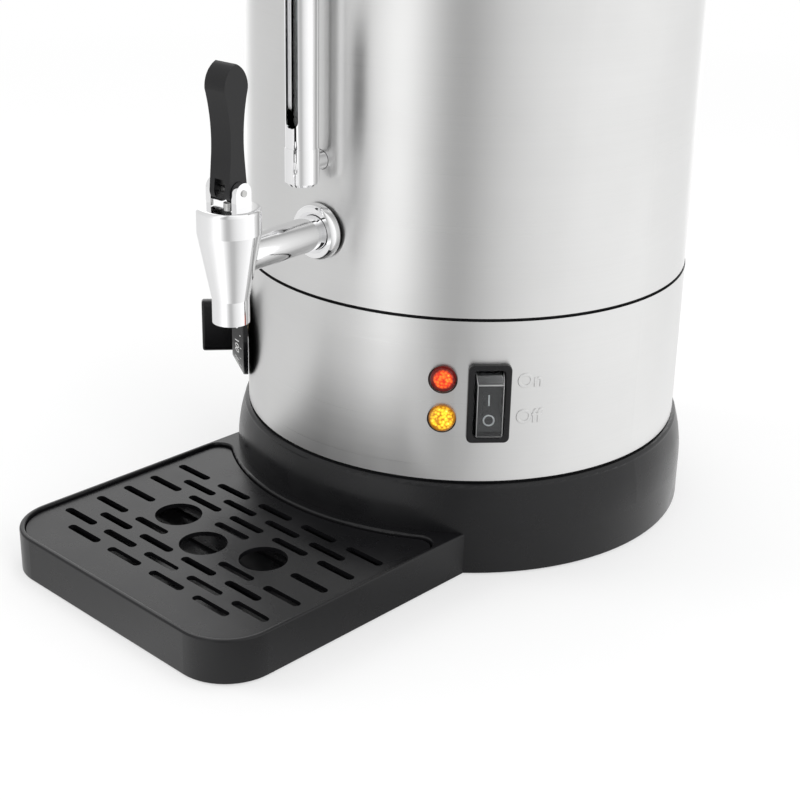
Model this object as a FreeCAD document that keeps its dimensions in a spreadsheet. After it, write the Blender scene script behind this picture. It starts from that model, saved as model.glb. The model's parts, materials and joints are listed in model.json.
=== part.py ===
import FreeCAD, Part

import math
import os

import Sketcher

from FreeCAD import Rotation, Vector

# Driving dimensions in millimetres and degrees. Heights are above the table, reaches are
# from the urn's upright axis towards the front, and azimuths turn from the front to the right.
SIZES = {
    # Clearances shared by mating pieces
    "seat_gap": 0.3,
    "running_gap": 0.05,
    "screw_gap": 0.2,
    # Black base moulding
    "foot_height": 1.0,
    "base_radius": 131.5,
    "base_top_radius": 127.5,
    "flare_height": 24.0,
    "base_height": 50.8,
    "base_edge": 2.5,
    "shell_wall": 3.0,
    "spigot_rise": 9.0,
    "deck_width": 24.0,
    "boss_radius": 5.0,
    "boss_circle": 110.0,
    # Drip tray
    "tray_width": 180.3,
    "tray_reach": 262.0,
    "tray_rim": 24.4,
    "tray_corner": 28.0,
    "rim_width": 2.65,
    "well_rear_radius": 136.5,
    "well_corner": 8.0,
    "rim_round": 1.1,
    "pan_fit": 0.6,
    "pan_wall": 1.8,
    "pan_rib": 2.0,
    "grate_drop": 2.0,
    "grate_thick": 2.4,
    "slot_long": 25.0,
    "slot_wide": 4.8,
    "slot_pitch": 17.0,
    "row_pitch": 10.2,
    "first_row": 148.1,
    "hole_radius": 12.6,
    "hole_side": 34.0,
    "side_hole_reach": 186.7,
    "mid_hole_reach": 197.9,
    # Underside
    "plate_radius": 127.0,
    "plate_thick": 1.2,
    "plate_height": 3.0,
    "foot_radius": 9.0,
    "foot_circle": 104.0,
    "front_foot_reach": 236.0,
    "front_foot_side": 66.0,
    "screw_radius": 1.5,
    "rod_radius": 2.5,
    "rod_circle": 60.0,
    "rod_nut_across": 8.0,
    # Body shells
    "band_radius": 125.0,
    "sheet_wall": 0.8,
    "band_bottom": 52.2,
    "band_top": 141.0,
    "seam_gap": 1.2,
    "jacket_radius": 124.5,
    "jacket_skirt": 8.0,
    "jacket_top": 428.0,
    "tank_radius": 112.0,
    "tank_wall": 0.9,
    "tank_bottom": 150.0,
    "tank_corner": 12.0,
    "rim_radius": 128.5,
    "rim_fall": 5.0,
    # Lid
    "lid_radius": 130.6,
    "lid_fall": 5.5,
    "lid_plug_depth": 9.0,
    "lid_gutter": 8.0,
    "lid_rise": 17.0,
    "knob_neck": 9.0,
    "knob_radius": 22.0,
    "knob_tall": 38.0,
    "vent_radius": 2.5,
    "vent_reach": 70.0,
    # Side handles
    "handle_height": 378.0,
    "handle_half": 57.0,
    "handle_grip": 16.0,
    "handle_tall": 20.0,
    "handle_reach": 168.0,
    "handle_screw_side": 49.0,
    "handle_screw_radius": 2.5,
    # Pouring tap
    "tap_azimuth": 4.5,
    "tap_reach": 189.0,
    "spout_bottom": 146.7,
    "spout_radius": 9.1,
    "spout_bore": 6.5,
    "cone_start": 158.8,
    "cone_radius": 15.6,
    "cone_top": 192.0,
    "valve_seat": 168.6,
    "chamber_wall": 3.0,
    "shank_height": 178.2,
    "shank_radius": 8.9,
    "shank_bore": 4.6,
    "shank_end": 97.0,
    "washer_thick": 1.2,
    "flange_radius": 14.5,
    "flange_thick": 5.2,
    "nut_across": 24.0,
    "nut_thick": 5.0,
    "stem_radius": 2.5,
    "bonnet_tall": 12.5,
    "lever_width": 13.0,
    "cheek_gap": 6.8,
    "ear_thick": 3.2,
    "ear_gap": 0.4,
    "pin_radius": 1.6,
    "pin_rise": 8.0,
    "lever_tall": 60.0,
    "spring_wire": 0.5,
    "spring_radius": 5.6,
    "spring_turns": 4.0,
    # Sight gauge
    "gauge_reach": 138.0,
    "gauge_low": 215.0,
    "gauge_high": 411.0,
    "gauge_block": 8.6,
    "gauge_shank": 5.0,
    "glass_radius": 5.0,
    "glass_wall": 1.2,
    "guard_radius": 8.2,
    "guard_slot": 8.0,
    # Power switch
    "switch_azimuth": 47.8,
    "switch_height": 96.8,
    "bezel_wide": 22.3,
    "bezel_tall": 43.0,
    "bezel_proud": 3.0,
    "rocker_wide": 12.6,
    "rocker_tall": 31.0,
    "rocker_tilt": 8.0,
    "boot_rise": 7.0,
    "boot_wall": 0.6,
    "switch_depth": 27.0,
    # Indicator lamps
    "lamp_azimuth": 36.9,
    "red_height": 109.4,
    "amber_height": 87.6,
    "lens_radius": 7.6,
    "lens_rise": 4.4,
    "lamp_body": 5.8,
    "lamp_depth": 22.0,
    # Thermostat
    "knob_azimuth": -40.2,
    "knob_height": 95.1,
    "dial_gap": 0.4,
    "dial_radius": 29.0,
    "dial_rim": 3.0,
    "dial_cone": 5.8,
    "dial_crown": 17.5,
    "grip_tall": 30.6,
    "grip_thick": 8.0,
    "grip_proud": 25.8,
    "shaft_radius": 3.0,
    "bush_radius": 4.5,
    "bush_proud": 3.0,
    "stat_nut": 13.0,
    "stat_radius": 17.0,
    "stat_depth": 27.0,
    "bulb_radius": 3.0,
    "bulb_long": 50.0,
    "capillary": 1.0,
    # Heating parts
    "main_ring": 78.0,
    "main_tube": 4.0,
    "warm_ring": 40.0,
    "warm_tube": 3.0,
    "leg_angle": 20.0,
    "leg_bottom": 118.0,
    "clamp_radius": 96.0,
    "clamp_thick": 2.0,
    "shield_radius": 120.0,
    "shield_height": 126.0,
    "cutout_radius": 8.5,
    "cutout_tall": 11.0,
    # Mains inlet and terminals
    "inlet_height": 26.0,
    "inlet_wide": 27.6,
    "inlet_tall": 20.4,
    "inlet_flange": 50.0,
    "inlet_depth": 27.0,
    "inlet_reach": 121.0,
    "inlet_screw_side": 20.0,
    "recess_wide": 54.0,
    "recess_tall": 26.0,
    "block_long": 42.0,
    "block_wide": 18.0,
    "block_tall": 16.0,
    "block_rear": 40.0,
    "wire_radius": 1.3,
    "wire_bend": 9.0,
    # Coffee basket
    "pump_radius": 6.2,
    "pump_foot": 30.0,
    "pump_top": 416.0,
    "collar_height": 334.0,
    "basket_radius": 78.0,
    "basket_tall": 60.0,
    "basket_wall": 0.8,
    "perforation": 1.6,
}

doc = FreeCAD.newDocument("coffee_urn")
sheet = doc.addObject("Spreadsheet::Sheet", "dims")
for row, (alias, number) in enumerate(SIZES.items(), start=1):
    sheet.set(f"A{row}", alias)
    sheet.set(f"B{row}", str(number))
    sheet.setAlias(f"B{row}", alias)
doc.recompute()


class Size:
    """A number that carries the spreadsheet formula that it comes from."""

    def __init__(self, amount, formula):
        self.amount = float(amount)
        self.formula = formula

    def __add__(self, other):
        other = as_size(other)
        return Size(self.amount + other.amount, f"({self.formula} + {other.formula})")

    def __sub__(self, other):
        other = as_size(other)
        return Size(self.amount - other.amount, f"({self.formula} - {other.formula})")

    def __mul__(self, other):
        other = as_size(other)
        return Size(self.amount * other.amount, f"({self.formula} * {other.formula})")

    def __truediv__(self, other):
        other = as_size(other)
        return Size(self.amount / other.amount, f"({self.formula} / {other.formula})")

    def __radd__(self, other):
        return as_size(other) + self

    def __rsub__(self, other):
        return as_size(other) - self

    def __rmul__(self, other):
        return as_size(other) * self

    def __neg__(self):
        return as_size(0) - self


def as_size(number):
    if isinstance(number, Size):
        return number
    return Size(number, f"({float(number)})")


def root(size):
    return Size(math.sqrt(size.amount), f"sqrt({size.formula})")


def sine(angle):
    angle = as_size(angle)
    return Size(math.sin(math.radians(angle.amount)), f"sin({angle.formula})")


def cosine(angle):
    angle = as_size(angle)
    return Size(math.cos(math.radians(angle.amount)), f"cos({angle.formula})")


def cap_bend(half, rise):
    """The radius of a round cap of the given half width and rise."""
    return (half * half + as_size(rise) * rise) / (2 * rise)


class Dimensions:
    """Each spreadsheet cell by its name, as a Size."""

    def __getattr__(self, alias):
        return Size(sheet.get(alias), f"dims.{alias}")


d = Dimensions()

# Sizes that follow from others
AXIS_BACK = (d.tray_reach - d.base_radius) / 2
RIM_TOP = d.jacket_top + d.tank_wall
TANK_FLOOR = d.tank_bottom + d.tank_wall
WELL_HALF = d.tray_width / 2 - d.rim_width
GRATE_TOP = d.tray_rim - d.grate_drop
GRATE_UNDER = GRATE_TOP - d.grate_thick
WELL_FLOOR = d.foot_height + d.shell_wall
SPIGOT_RADIUS = d.band_radius - d.sheet_wall - d.seat_gap
SPIGOT_TOP = d.base_height + d.spigot_rise
PLATE_TOP = d.plate_height + d.plate_thick
BONNET_TOP = d.cone_top + d.bonnet_tall
PIN_HEIGHT = BONNET_TOP + d.pin_rise
CLAMP_TOP = d.tank_bottom - 2 * d.main_tube - d.seat_gap
LID_SEAT = RIM_TOP
CROWN_TOP = LID_SEAT - d.lid_plug_depth + d.lid_rise + d.lid_gutter
HANDLE_FOOT = d.jacket_radius - 20.5
EAR_INNER = d.lever_width / 2 + d.ear_gap
STEM_TOP = PIN_HEIGHT - d.pin_radius - 4.6
ROCKER_PIVOT = d.band_radius - 7
SWITCH_HALF_WIDE = d.rocker_wide / 2 + 2.6
SWITCH_HALF_TALL = d.rocker_tall / 2 + 3.8
BOOT_HALF_WIDE = d.rocker_wide / 2 + 1.1
BOOT_HALF_TALL = d.rocker_tall / 2 + 2.6


def bind(thing, name, size):
    """Tie a property of a thing to its spreadsheet formula."""
    thing.setExpression(name, as_size(size).formula)


def plane_of(body, role):
    return next(item for item in body.Origin.OriginFeatures if item.Role == role)


def place(thing, back=0, height=0, turn=0, lean=0, swing=0):
    """Stand a piece off the urn's axis: leaning, turned, moved back and up, and swung about the axis."""
    corner = (-back * sine(swing), AXIS_BACK + back * cosine(swing), height)
    spot = [as_size(size).formula for size in corner]
    spin = f"rotation(vector(0; 0; 1); {(as_size(turn) + swing).formula})"
    tip = f"rotation(vector(1; 0; 0); {as_size(lean).formula})"
    thing.setExpression("Placement", f"placement(vector({'; '.join(spot)}); {spin} * {tip})")


def new_body(label, **where):
    body = doc.addObject("PartDesign::Body", label)
    body.Label = label
    place(body, **where)
    return body


def panel_body(label, azimuth, height):
    """A body that looks out from the urn's axis: x to the right, y up, z outwards."""
    return new_body(label, height=height, turn=azimuth, lean=90)


def new_sketch(body, role, at=(0, 0, 0), swing=0):
    """A sketch on one of the body's planes, shifted along its own axes and swung about its y."""
    sketch = body.newObject("Sketcher::SketchObject", f"{body.Name}_sketch")
    sketch.AttachmentSupport = [(plane_of(body, role), "")]
    sketch.MapMode = "FlatFace"
    spot = "; ".join(as_size(size).formula for size in at)
    spin = f"rotation(vector(0; 1; 0); {as_size(swing).formula})"
    if swing:
        sketch.setExpression("AttachmentOffset", f"placement({spin} * vector({spot}); {spin})")
    else:
        sketch.setExpression("AttachmentOffset", f"placement(vector({spot}); {spin})")
    return sketch


def bow(start, end, bend):
    """The arc from start to end with a radius of bend, turning left if bend is positive."""
    chord = end - start
    middle = (start + end) * 0.5
    left = Vector(-chord.y, chord.x, 0).normalize()
    reach = math.sqrt(max(bend * bend - chord.Length ** 2 / 4, 0))
    centre = middle + left * math.copysign(reach, bend)
    first, last = (start, end) if bend > 0 else (end, start)
    begin = math.atan2(first.y - centre.y, first.x - centre.x)
    finish = math.atan2(last.y - centre.y, last.x - centre.x)
    circle = Part.Circle(centre, Vector(0, 0, 1), abs(bend))
    return Part.ArcOfCircle(circle, begin, finish)


def trace(sketch, corners):
    """Draw a closed outline. A corner's third number is the radius of the arc that arrives there."""
    corners = [tuple(as_size(size) for size in corner) for corner in corners]
    spots = [Vector(corner[0].amount, corner[1].amount, 0) for corner in corners]
    first = sketch.GeometryCount
    backwards = []
    for index, corner in enumerate(corners):
        start, end = spots[index - 1], spots[index]
        if len(corner) == 3:
            sketch.addGeometry(bow(start, end, corner[2].amount))
        else:
            sketch.addGeometry(Part.LineSegment(start, end))
        backwards.append(len(corner) == 3 and corner[2].amount < 0)
    rules = []
    formulas = []
    for index, corner in enumerate(corners):
        after = (index + 1) % len(corners)
        leaving = 1 if backwards[index] else 2
        entering = 2 if backwards[after] else 1
        rules.append(Sketcher.Constraint("Coincident", first + index, leaving, first + after, entering))
        formulas.append(None)
        rules.append(Sketcher.Constraint("DistanceX", first + index, leaving, corner[0].amount))
        formulas.append(corner[0].formula)
        rules.append(Sketcher.Constraint("DistanceY", first + index, leaving, corner[1].amount))
        formulas.append(corner[1].formula)
        if len(corner) == 3:
            rules.append(Sketcher.Constraint("Radius", first + index, abs(corner[2].amount)))
            formulas.append(f"abs({corner[2].formula})")
    settle_rules(sketch, rules, formulas)


def settle_rules(sketch, rules, formulas):
    base = sketch.ConstraintCount
    sketch.addConstraint(rules)
    for index, formula in enumerate(formulas):
        if formula:
            sketch.setExpression(f"Constraints[{base + index}]", formula)


def circle(sketch, x, y, radius):
    x, y, radius = as_size(x), as_size(y), as_size(radius)
    centre = Vector(x.amount, y.amount, 0)
    index = sketch.addGeometry(Part.Circle(centre, Vector(0, 0, 1), radius.amount))
    rules = [
        Sketcher.Constraint("DistanceX", index, 3, x.amount),
        Sketcher.Constraint("DistanceY", index, 3, y.amount),
        Sketcher.Constraint("Radius", index, radius.amount),
    ]
    settle_rules(sketch, rules, [x.formula, y.formula, radius.formula])


def rounded(sketch, left, low, right, high, bend):
    """A rectangle with round corners, drawn counter-clockwise."""
    trace(sketch, [
        (right, low + bend, bend),
        (right, high - bend),
        (right - bend, high, bend),
        (left + bend, high),
        (left, high - bend, bend),
        (left, low + bend),
        (left + bend, low, bend),
        (right - bend, low),
    ])


def rectangle(sketch, left, low, right, high):
    trace(sketch, [(left, low), (right, low), (right, high), (left, high)])


def hexagon(sketch, across):
    """A hexagon about the sketch's own centre, with its flats across."""
    corner_radius = across / math.sqrt(3)
    trace(sketch, [(corner_radius * cosine(60 * step), corner_radius * sine(60 * step)) for step in range(6)])


volumes = {}


def settle(body, feature, removes=False):
    """Recompute and confirm that the feature adds or removes material as it should."""
    doc.recompute()
    gain = feature.Shape.Volume - volumes.get(body.Name, 0)
    if (gain >= 0) == removes:
        raise ValueError(f"{body.Label}: {feature.Name} changed the volume by {gain:.3f}")
    volumes[body.Name] = feature.Shape.Volume
    return feature


def turned(body, sketch, angle=360):
    feature = body.newObject("PartDesign::Revolution", f"{body.Name}_turned")
    feature.Profile = sketch
    feature.ReferenceAxis = (sketch, ["V_Axis"])
    bind(feature, "Angle", angle)
    return settle(body, feature)


def grooved(body, sketch):
    feature = body.newObject("PartDesign::Groove", f"{body.Name}_groove")
    feature.Profile = sketch
    feature.ReferenceAxis = (sketch, ["V_Axis"])
    feature.Angle = 360
    return settle(body, feature, removes=True)


def pad(body, sketch, length, backwards=False, both=False):
    feature = body.newObject("PartDesign::Pad", f"{body.Name}_pad")
    feature.Profile = sketch
    bind(feature, "Length", length)
    feature.Reversed = backwards
    feature.Midplane = both
    return settle(body, feature)


def pocket(body, sketch, length, along=False, both=False):
    """Cut against the sketch's normal, or along it."""
    feature = body.newObject("PartDesign::Pocket", f"{body.Name}_pocket")
    feature.Profile = sketch
    bind(feature, "Length", length)
    feature.Reversed = along
    feature.Midplane = both
    return settle(body, feature, removes=True)


def around(body, feature, count, removes=False):
    """Repeat a feature about the body's upright axis."""
    pattern = body.newObject("PartDesign::PolarPattern", f"{body.Name}_around")
    pattern.Originals = [feature]
    pattern.Axis = (plane_of(body, "Z_Axis"), [""])
    pattern.Angle = 360
    pattern.Occurrences = count
    body.Tip = pattern
    return settle(body, pattern, removes)


def soften(body, radius, wanted):
    """Round the edges for which wanted(edge) is true."""
    base = body.Tip
    edges = enumerate(base.Shape.Edges, start=1)
    names = [f"Edge{index}" for index, edge in edges if wanted(edge)]
    feature = body.newObject("PartDesign::Fillet", f"{body.Name}_round")
    feature.Base = (base, names)
    bind(feature, "Radius", radius)
    doc.recompute()
    volumes[body.Name] = feature.Shape.Volume


def turned_body(label, corners, **where):
    """A round piece about its own upright axis."""
    body = new_body(label, **where)
    sketch = new_sketch(body, "XZ_Plane")
    trace(sketch, corners)
    turned(body, sketch)
    return body


def turned_panel(label, azimuth, height, corners):
    """A round piece about a line that runs straight out of the urn."""
    body = panel_body(label, azimuth, height)
    sketch = new_sketch(body, "XZ_Plane")
    trace(sketch, corners)
    turned(body, sketch)
    return body


def side_hole(body, azimuth, height, radius, across=0):
    """A round hole through a shell's wall, cut outwards from the axis."""
    sketch = new_sketch(body, "XZ_Plane", swing=azimuth)
    circle(sketch, across, height, radius)
    return pocket(body, sketch, d.base_radius, along=True)


def ring_corners(inner, outer, low, high):
    return [(inner, low), (outer, low), (outer, high), (inner, high)]


def hex_nut(label, azimuth, height, bore, across, start, thick):
    """A hexagon nut on a shank that runs out of the urn."""
    body = panel_body(label, azimuth, height)
    sketch = new_sketch(body, "XY_Plane", at=(0, 0, start))
    hexagon(sketch, across)
    circle(sketch, 0, 0, bore)
    pad(body, sketch, thick)
    return body


def bent_wire(corners, radius, bend):
    """A round wire along straight runs joined by arcs."""
    spots = [Vector(*corner) for corner in corners]
    edges = []
    start = spots[0]
    for before, corner, after in zip(spots, spots[1:], spots[2:]):
        toward = (before - corner).normalize()
        away = (after - corner).normalize()
        half_turn = (math.pi - toward.getAngle(away)) / 2
        cut = bend * math.tan(half_turn)
        entry = corner + toward * cut
        leave = corner + away * cut
        middle = corner + (toward + away).normalize() * (bend / math.cos(half_turn) - bend)
        edges.append(Part.LineSegment(start, entry).toShape())
        edges.append(Part.Arc(entry, middle, leave).toShape())
        start = leave
    edges.append(Part.LineSegment(start, spots[-1]).toShape())
    ring = Part.makeCircle(radius, spots[0], spots[1] - spots[0])
    return Part.Wire(edges).makePipeShell([Part.Wire(ring)], True, True)


# Base

def tray_outline(sketch, inset, rear_radius):
    """The tray's footprint: straight sides, round front corners, and a rear edge that follows the urn."""
    half = WELL_HALF - inset
    rear_corner = -root(rear_radius * rear_radius - half * half)
    front = -(d.tray_reach - d.shell_wall - inset)
    bend = d.tray_corner - d.shell_wall - inset
    trace(sketch, [
        (half, front + bend, bend),
        (half, rear_corner),
        (-half, rear_corner, -rear_radius),
        (-half, front + bend),
        (-half + bend, front, bend),
        (half - bend, front),
    ])


def is_horn(edge):
    """An upright edge at a rear corner of the tray's well."""
    if len(edge.Vertexes) != 2:
        return False
    top, bottom = edge.Vertexes[0].Point, edge.Vertexes[1].Point
    upright = abs(top.x - bottom.x) < 0.01 and abs(top.y - bottom.y) < 0.01
    rear = d.well_rear_radius.amount - 3 < math.hypot(top.x, top.y) < d.well_rear_radius.amount + 3
    return upright and rear and abs(top.x) > WELL_HALF.amount - 4


def make_base_housing():
    """Skirt ring under the body, with the tray's trough in the same moulding."""
    body = new_body("base_housing")
    half = d.tray_width / 2
    joint_radius = d.base_radius - d.shell_wall / 2
    joint_back = -root(joint_radius * joint_radius - half * half)
    sketch = new_sketch(body, "XY_Plane", at=(0, 0, d.foot_height))
    trace(sketch, [
        (half, -d.tray_reach + d.tray_corner, d.tray_corner),
        (half, joint_back),
        (-half, joint_back, -joint_radius),
        (-half, -d.tray_reach + d.tray_corner),
        (-half + d.tray_corner, -d.tray_reach, d.tray_corner),
        (half - d.tray_corner, -d.tray_reach),
    ])
    pad(body, sketch, d.tray_rim - d.foot_height)
    sketch = new_sketch(body, "XY_Plane", at=(0, 0, d.tray_rim))
    tray_outline(sketch, 0, d.well_rear_radius)
    pocket(body, sketch, d.tray_rim - WELL_FLOOR)
    soften(body, d.well_corner, is_horn)
    soften(body, d.rim_round, is_tray_rim)
    flare_rise = d.base_height - d.base_edge - d.flare_height
    flare_in = d.base_radius - d.base_top_radius
    flare_bend = cap_bend(flare_rise, flare_in)
    deck_radius = SPIGOT_RADIUS - d.deck_width
    spigot_inner = SPIGOT_RADIUS - d.shell_wall
    sketch = new_sketch(body, "XZ_Plane")
    trace(sketch, [
        (d.base_radius, d.foot_height),
        (d.base_radius, d.flare_height),
        (d.base_top_radius, d.base_height - d.base_edge, flare_bend),
        (d.base_top_radius - d.base_edge, d.base_height, d.base_edge),
        (SPIGOT_RADIUS, d.base_height),
        (SPIGOT_RADIUS, SPIGOT_TOP),
        (deck_radius, SPIGOT_TOP),
        (deck_radius, SPIGOT_TOP - d.shell_wall),
        (spigot_inner, SPIGOT_TOP - d.shell_wall),
        (spigot_inner, d.base_height - d.shell_wall),
        (d.base_top_radius - d.shell_wall, d.base_height - d.shell_wall),
        (d.base_radius - d.shell_wall, d.flare_height),
        (d.base_radius - d.shell_wall, d.foot_height),
    ])
    turned(body, sketch)
    boss = new_sketch(body, "XY_Plane", at=(0, 0, PLATE_TOP))
    circle(boss, d.boss_circle * cosine(45), d.boss_circle * sine(45), d.boss_radius)
    around(body, pad(body, boss, SPIGOT_TOP - d.shell_wall - PLATE_TOP), 4)
    hole = new_sketch(body, "XY_Plane", at=(0, 0, PLATE_TOP))
    circle(hole, d.boss_circle * cosine(45), d.boss_circle * sine(45), d.screw_radius + d.screw_gap)
    around(body, pocket(body, hole, 16, along=True), 4, removes=True)
    cut_inlet_recess(body)


def is_tray_rim(edge):
    """An edge around the top of the tray's rim, but not the one inside the skirt."""
    box = edge.BoundBox
    flat = abs(box.ZMin - d.tray_rim.amount) < 0.01 and abs(box.ZMax - d.tray_rim.amount) < 0.01
    return flat and box.YMin < -d.base_radius.amount


def cut_inlet_recess(body):
    """A flat-floored recess in the rear of the skirt for the mains inlet."""
    half_wide = d.recess_wide / 2
    half_tall = d.recess_tall / 2
    wall = d.shell_wall
    floor_inside = -(d.inlet_reach - wall)
    block = new_sketch(body, "XZ_Plane", at=(0, 0, floor_inside))
    low = d.inlet_height - half_tall - wall
    high = d.inlet_height + half_tall + wall
    rectangle(block, -half_wide - wall, low, half_wide + wall, high)
    pad(body, block, 2 * wall, backwards=True)
    recess = new_sketch(body, "XZ_Plane", at=(0, 0, -d.inlet_reach))
    rounded(recess, -half_wide, low + wall, half_wide, high - wall, as_size(2))
    pocket(body, recess, d.base_radius - d.inlet_reach + 1)
    hole = new_sketch(body, "XZ_Plane", at=(0, 0, -d.inlet_reach))
    half_hole = d.inlet_wide / 2 + d.seat_gap
    half_hole_tall = d.inlet_tall / 2 + d.seat_gap
    rectangle(hole, -half_hole, d.inlet_height - half_hole_tall, half_hole, d.inlet_height + half_hole_tall)
    for side in (-1, 1):
        circle(hole, side * d.inlet_screw_side, d.inlet_height, d.screw_radius + d.screw_gap)
    pocket(body, hole, wall + 1, along=True)


def make_bottom_plate():
    """Steel disc that closes the underside, with vent slots."""
    body = new_body("bottom_plate", height=d.plate_height)
    sketch = new_sketch(body, "XY_Plane")
    circle(sketch, 0, 0, d.plate_radius)
    pad(body, sketch, d.plate_thick)
    screw = new_sketch(body, "XY_Plane", at=(0, 0, d.plate_thick))
    circle(screw, d.boss_circle * cosine(45), d.boss_circle * sine(45), d.screw_radius + d.screw_gap)
    around(body, pocket(body, screw, d.plate_thick), 4, removes=True)
    rod = new_sketch(body, "XY_Plane", at=(0, 0, d.plate_thick))
    circle(rod, 0, -d.rod_circle, d.rod_radius + d.screw_gap)
    around(body, pocket(body, rod, d.plate_thick), 3, removes=True)
    vent = new_sketch(body, "XY_Plane", at=(0, 0, d.plate_thick))
    rounded(vent, as_size(76), as_size(-2), as_size(94), as_size(2), as_size(1.9))
    around(body, pocket(body, vent, d.plate_thick), 12, removes=True)


def make_rubber_feet():
    """Four feet under the plate and two low ones under the front of the tray."""
    body = new_body("rubber_feet")
    sketch = new_sketch(body, "XY_Plane")
    circle(sketch, 0, -d.foot_circle, d.foot_radius)
    around(body, pad(body, sketch, d.plate_height), 4)
    front = new_sketch(body, "XY_Plane")
    for side in (-1, 1):
        circle(front, side * d.front_foot_side, -d.front_foot_reach, d.foot_radius)
    pad(body, front, d.foot_height)


def make_bottom_screws():
    """Pan-head screws that hold the plate to the bosses."""
    body = new_body("bottom_screws", height=d.plate_height)
    sketch = new_sketch(body, "XZ_Plane", at=(d.boss_circle, 0, 0))
    head_tall = 1.6
    trace(sketch, [
        (0, -head_tall),
        (3.0, -head_tall),
        (3.2, 0),
        (d.screw_radius, 0),
        (d.screw_radius, 14),
        (0, 14),
    ])
    feature = turned(body, sketch)
    around(body, feature, 4)
    place(body, height=d.plate_height, turn=45)


def make_tie_rods():
    """Studs from the tank's floor down through the clamp, the shield and the bottom plate."""
    body = new_body("tie_rods", turn=-90)
    collar = d.rod_radius + 1.8
    collar_long = 2.2
    clamp_under = CLAMP_TOP - d.clamp_thick
    shield_under = d.shield_height - d.sheet_wall
    sketch = new_sketch(body, "XZ_Plane", at=(d.rod_circle, 0, 0))
    trace(sketch, [
        (0, d.foot_height),
        (d.rod_radius, d.foot_height),
        (d.rod_radius, shield_under - collar_long),
        (collar, shield_under - collar_long),
        (collar, shield_under),
        (d.rod_radius, shield_under),
        (d.rod_radius, clamp_under - collar_long),
        (collar, clamp_under - collar_long),
        (collar, clamp_under),
        (d.rod_radius, clamp_under),
        (d.rod_radius, d.tank_bottom),
        (0, d.tank_bottom),
    ])
    around(body, turned(body, sketch), 3)


def make_tie_nuts():
    """Nuts that draw the bottom plate up on the studs."""
    body = new_body("tie_nuts", turn=-90)
    low = d.foot_height + 0.2
    sketch = new_sketch(body, "XY_Plane", at=(d.rod_circle, 0, low))
    hexagon(sketch, d.rod_nut_across)
    circle(sketch, 0, 0, d.rod_radius + d.running_gap)
    around(body, pad(body, sketch, d.plate_height - low), 3)


# Body shells

def make_lower_band():
    """Steel band around the heater compartment, pierced for the controls."""
    inner = d.band_radius - d.sheet_wall
    body = turned_body("lower_band", ring_corners(inner, d.band_radius, d.band_bottom, d.band_top))
    for height in (d.red_height, d.amber_height):
        side_hole(body, d.lamp_azimuth, height, d.lamp_body + d.screw_gap)
    side_hole(body, d.knob_azimuth, d.knob_height, d.bush_radius + d.screw_gap)
    sketch = new_sketch(body, "XZ_Plane", swing=d.switch_azimuth)
    half_wide = SWITCH_HALF_WIDE + d.seat_gap
    half_tall = SWITCH_HALF_TALL + d.seat_gap
    low = d.switch_height - half_tall
    rectangle(sketch, -half_wide, low, half_wide, d.switch_height + half_tall)
    pocket(body, sketch, d.base_radius, along=True)


def make_outer_jacket():
    """Upper steel jacket, with a narrower skirt at its foot that sits inside the band."""
    inner = d.jacket_radius - d.sheet_wall
    skirt = d.band_radius - d.sheet_wall - d.seat_gap
    step = d.jacket_radius - skirt
    joggle = d.band_top + d.seam_gap
    body = turned_body("outer_jacket", [
        (skirt - d.sheet_wall, d.band_top - d.jacket_skirt),
        (skirt, d.band_top - d.jacket_skirt),
        (skirt, joggle - step),
        (d.jacket_radius, joggle),
        (d.jacket_radius, d.jacket_top),
        (inner, d.jacket_top),
        (inner, joggle),
        (skirt - d.sheet_wall, joggle - step),
    ])
    side_hole(body, d.tap_azimuth, d.shank_height, d.shank_radius + d.screw_gap)
    for height in (d.gauge_low, d.gauge_high):
        side_hole(body, d.tap_azimuth, height, d.gauge_shank + d.screw_gap)
    for azimuth in (90, -90):
        for side in (-1, 1):
            radius = d.handle_screw_radius + d.screw_gap
            side_hole(body, azimuth, d.handle_height, radius, across=side * d.handle_screw_side)


def make_inner_tank():
    """Water tank that hangs in the jacket by its folded rim."""
    inner = d.tank_radius - d.tank_wall
    rim_inner = d.rim_radius - d.tank_wall
    lip = d.jacket_top - d.rim_fall
    body = turned_body("inner_tank", [
        (0, d.tank_bottom),
        (d.tank_radius - d.tank_corner, d.tank_bottom),
        (d.tank_radius, d.tank_bottom + d.tank_corner, d.tank_corner),
        (d.tank_radius, d.jacket_top),
        (rim_inner - 1.1, d.jacket_top),
        (rim_inner, d.jacket_top - 1.1, -1.1),
        (rim_inner, lip),
        (d.rim_radius, lip),
        (d.rim_radius, RIM_TOP - 2),
        (d.rim_radius - 2, RIM_TOP, 2),
        (inner, RIM_TOP),
        (inner, d.tank_bottom + d.tank_corner),
        (d.tank_radius - d.tank_corner, TANK_FLOOR, d.tank_wall - d.tank_corner),
        (0, TANK_FLOOR),
    ])
    side_hole(body, d.tap_azimuth, d.shank_height, d.shank_radius + d.screw_gap)
    for height in (d.gauge_low, d.gauge_high):
        side_hole(body, d.tap_azimuth, height, d.gauge_shank + d.screw_gap)


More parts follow.
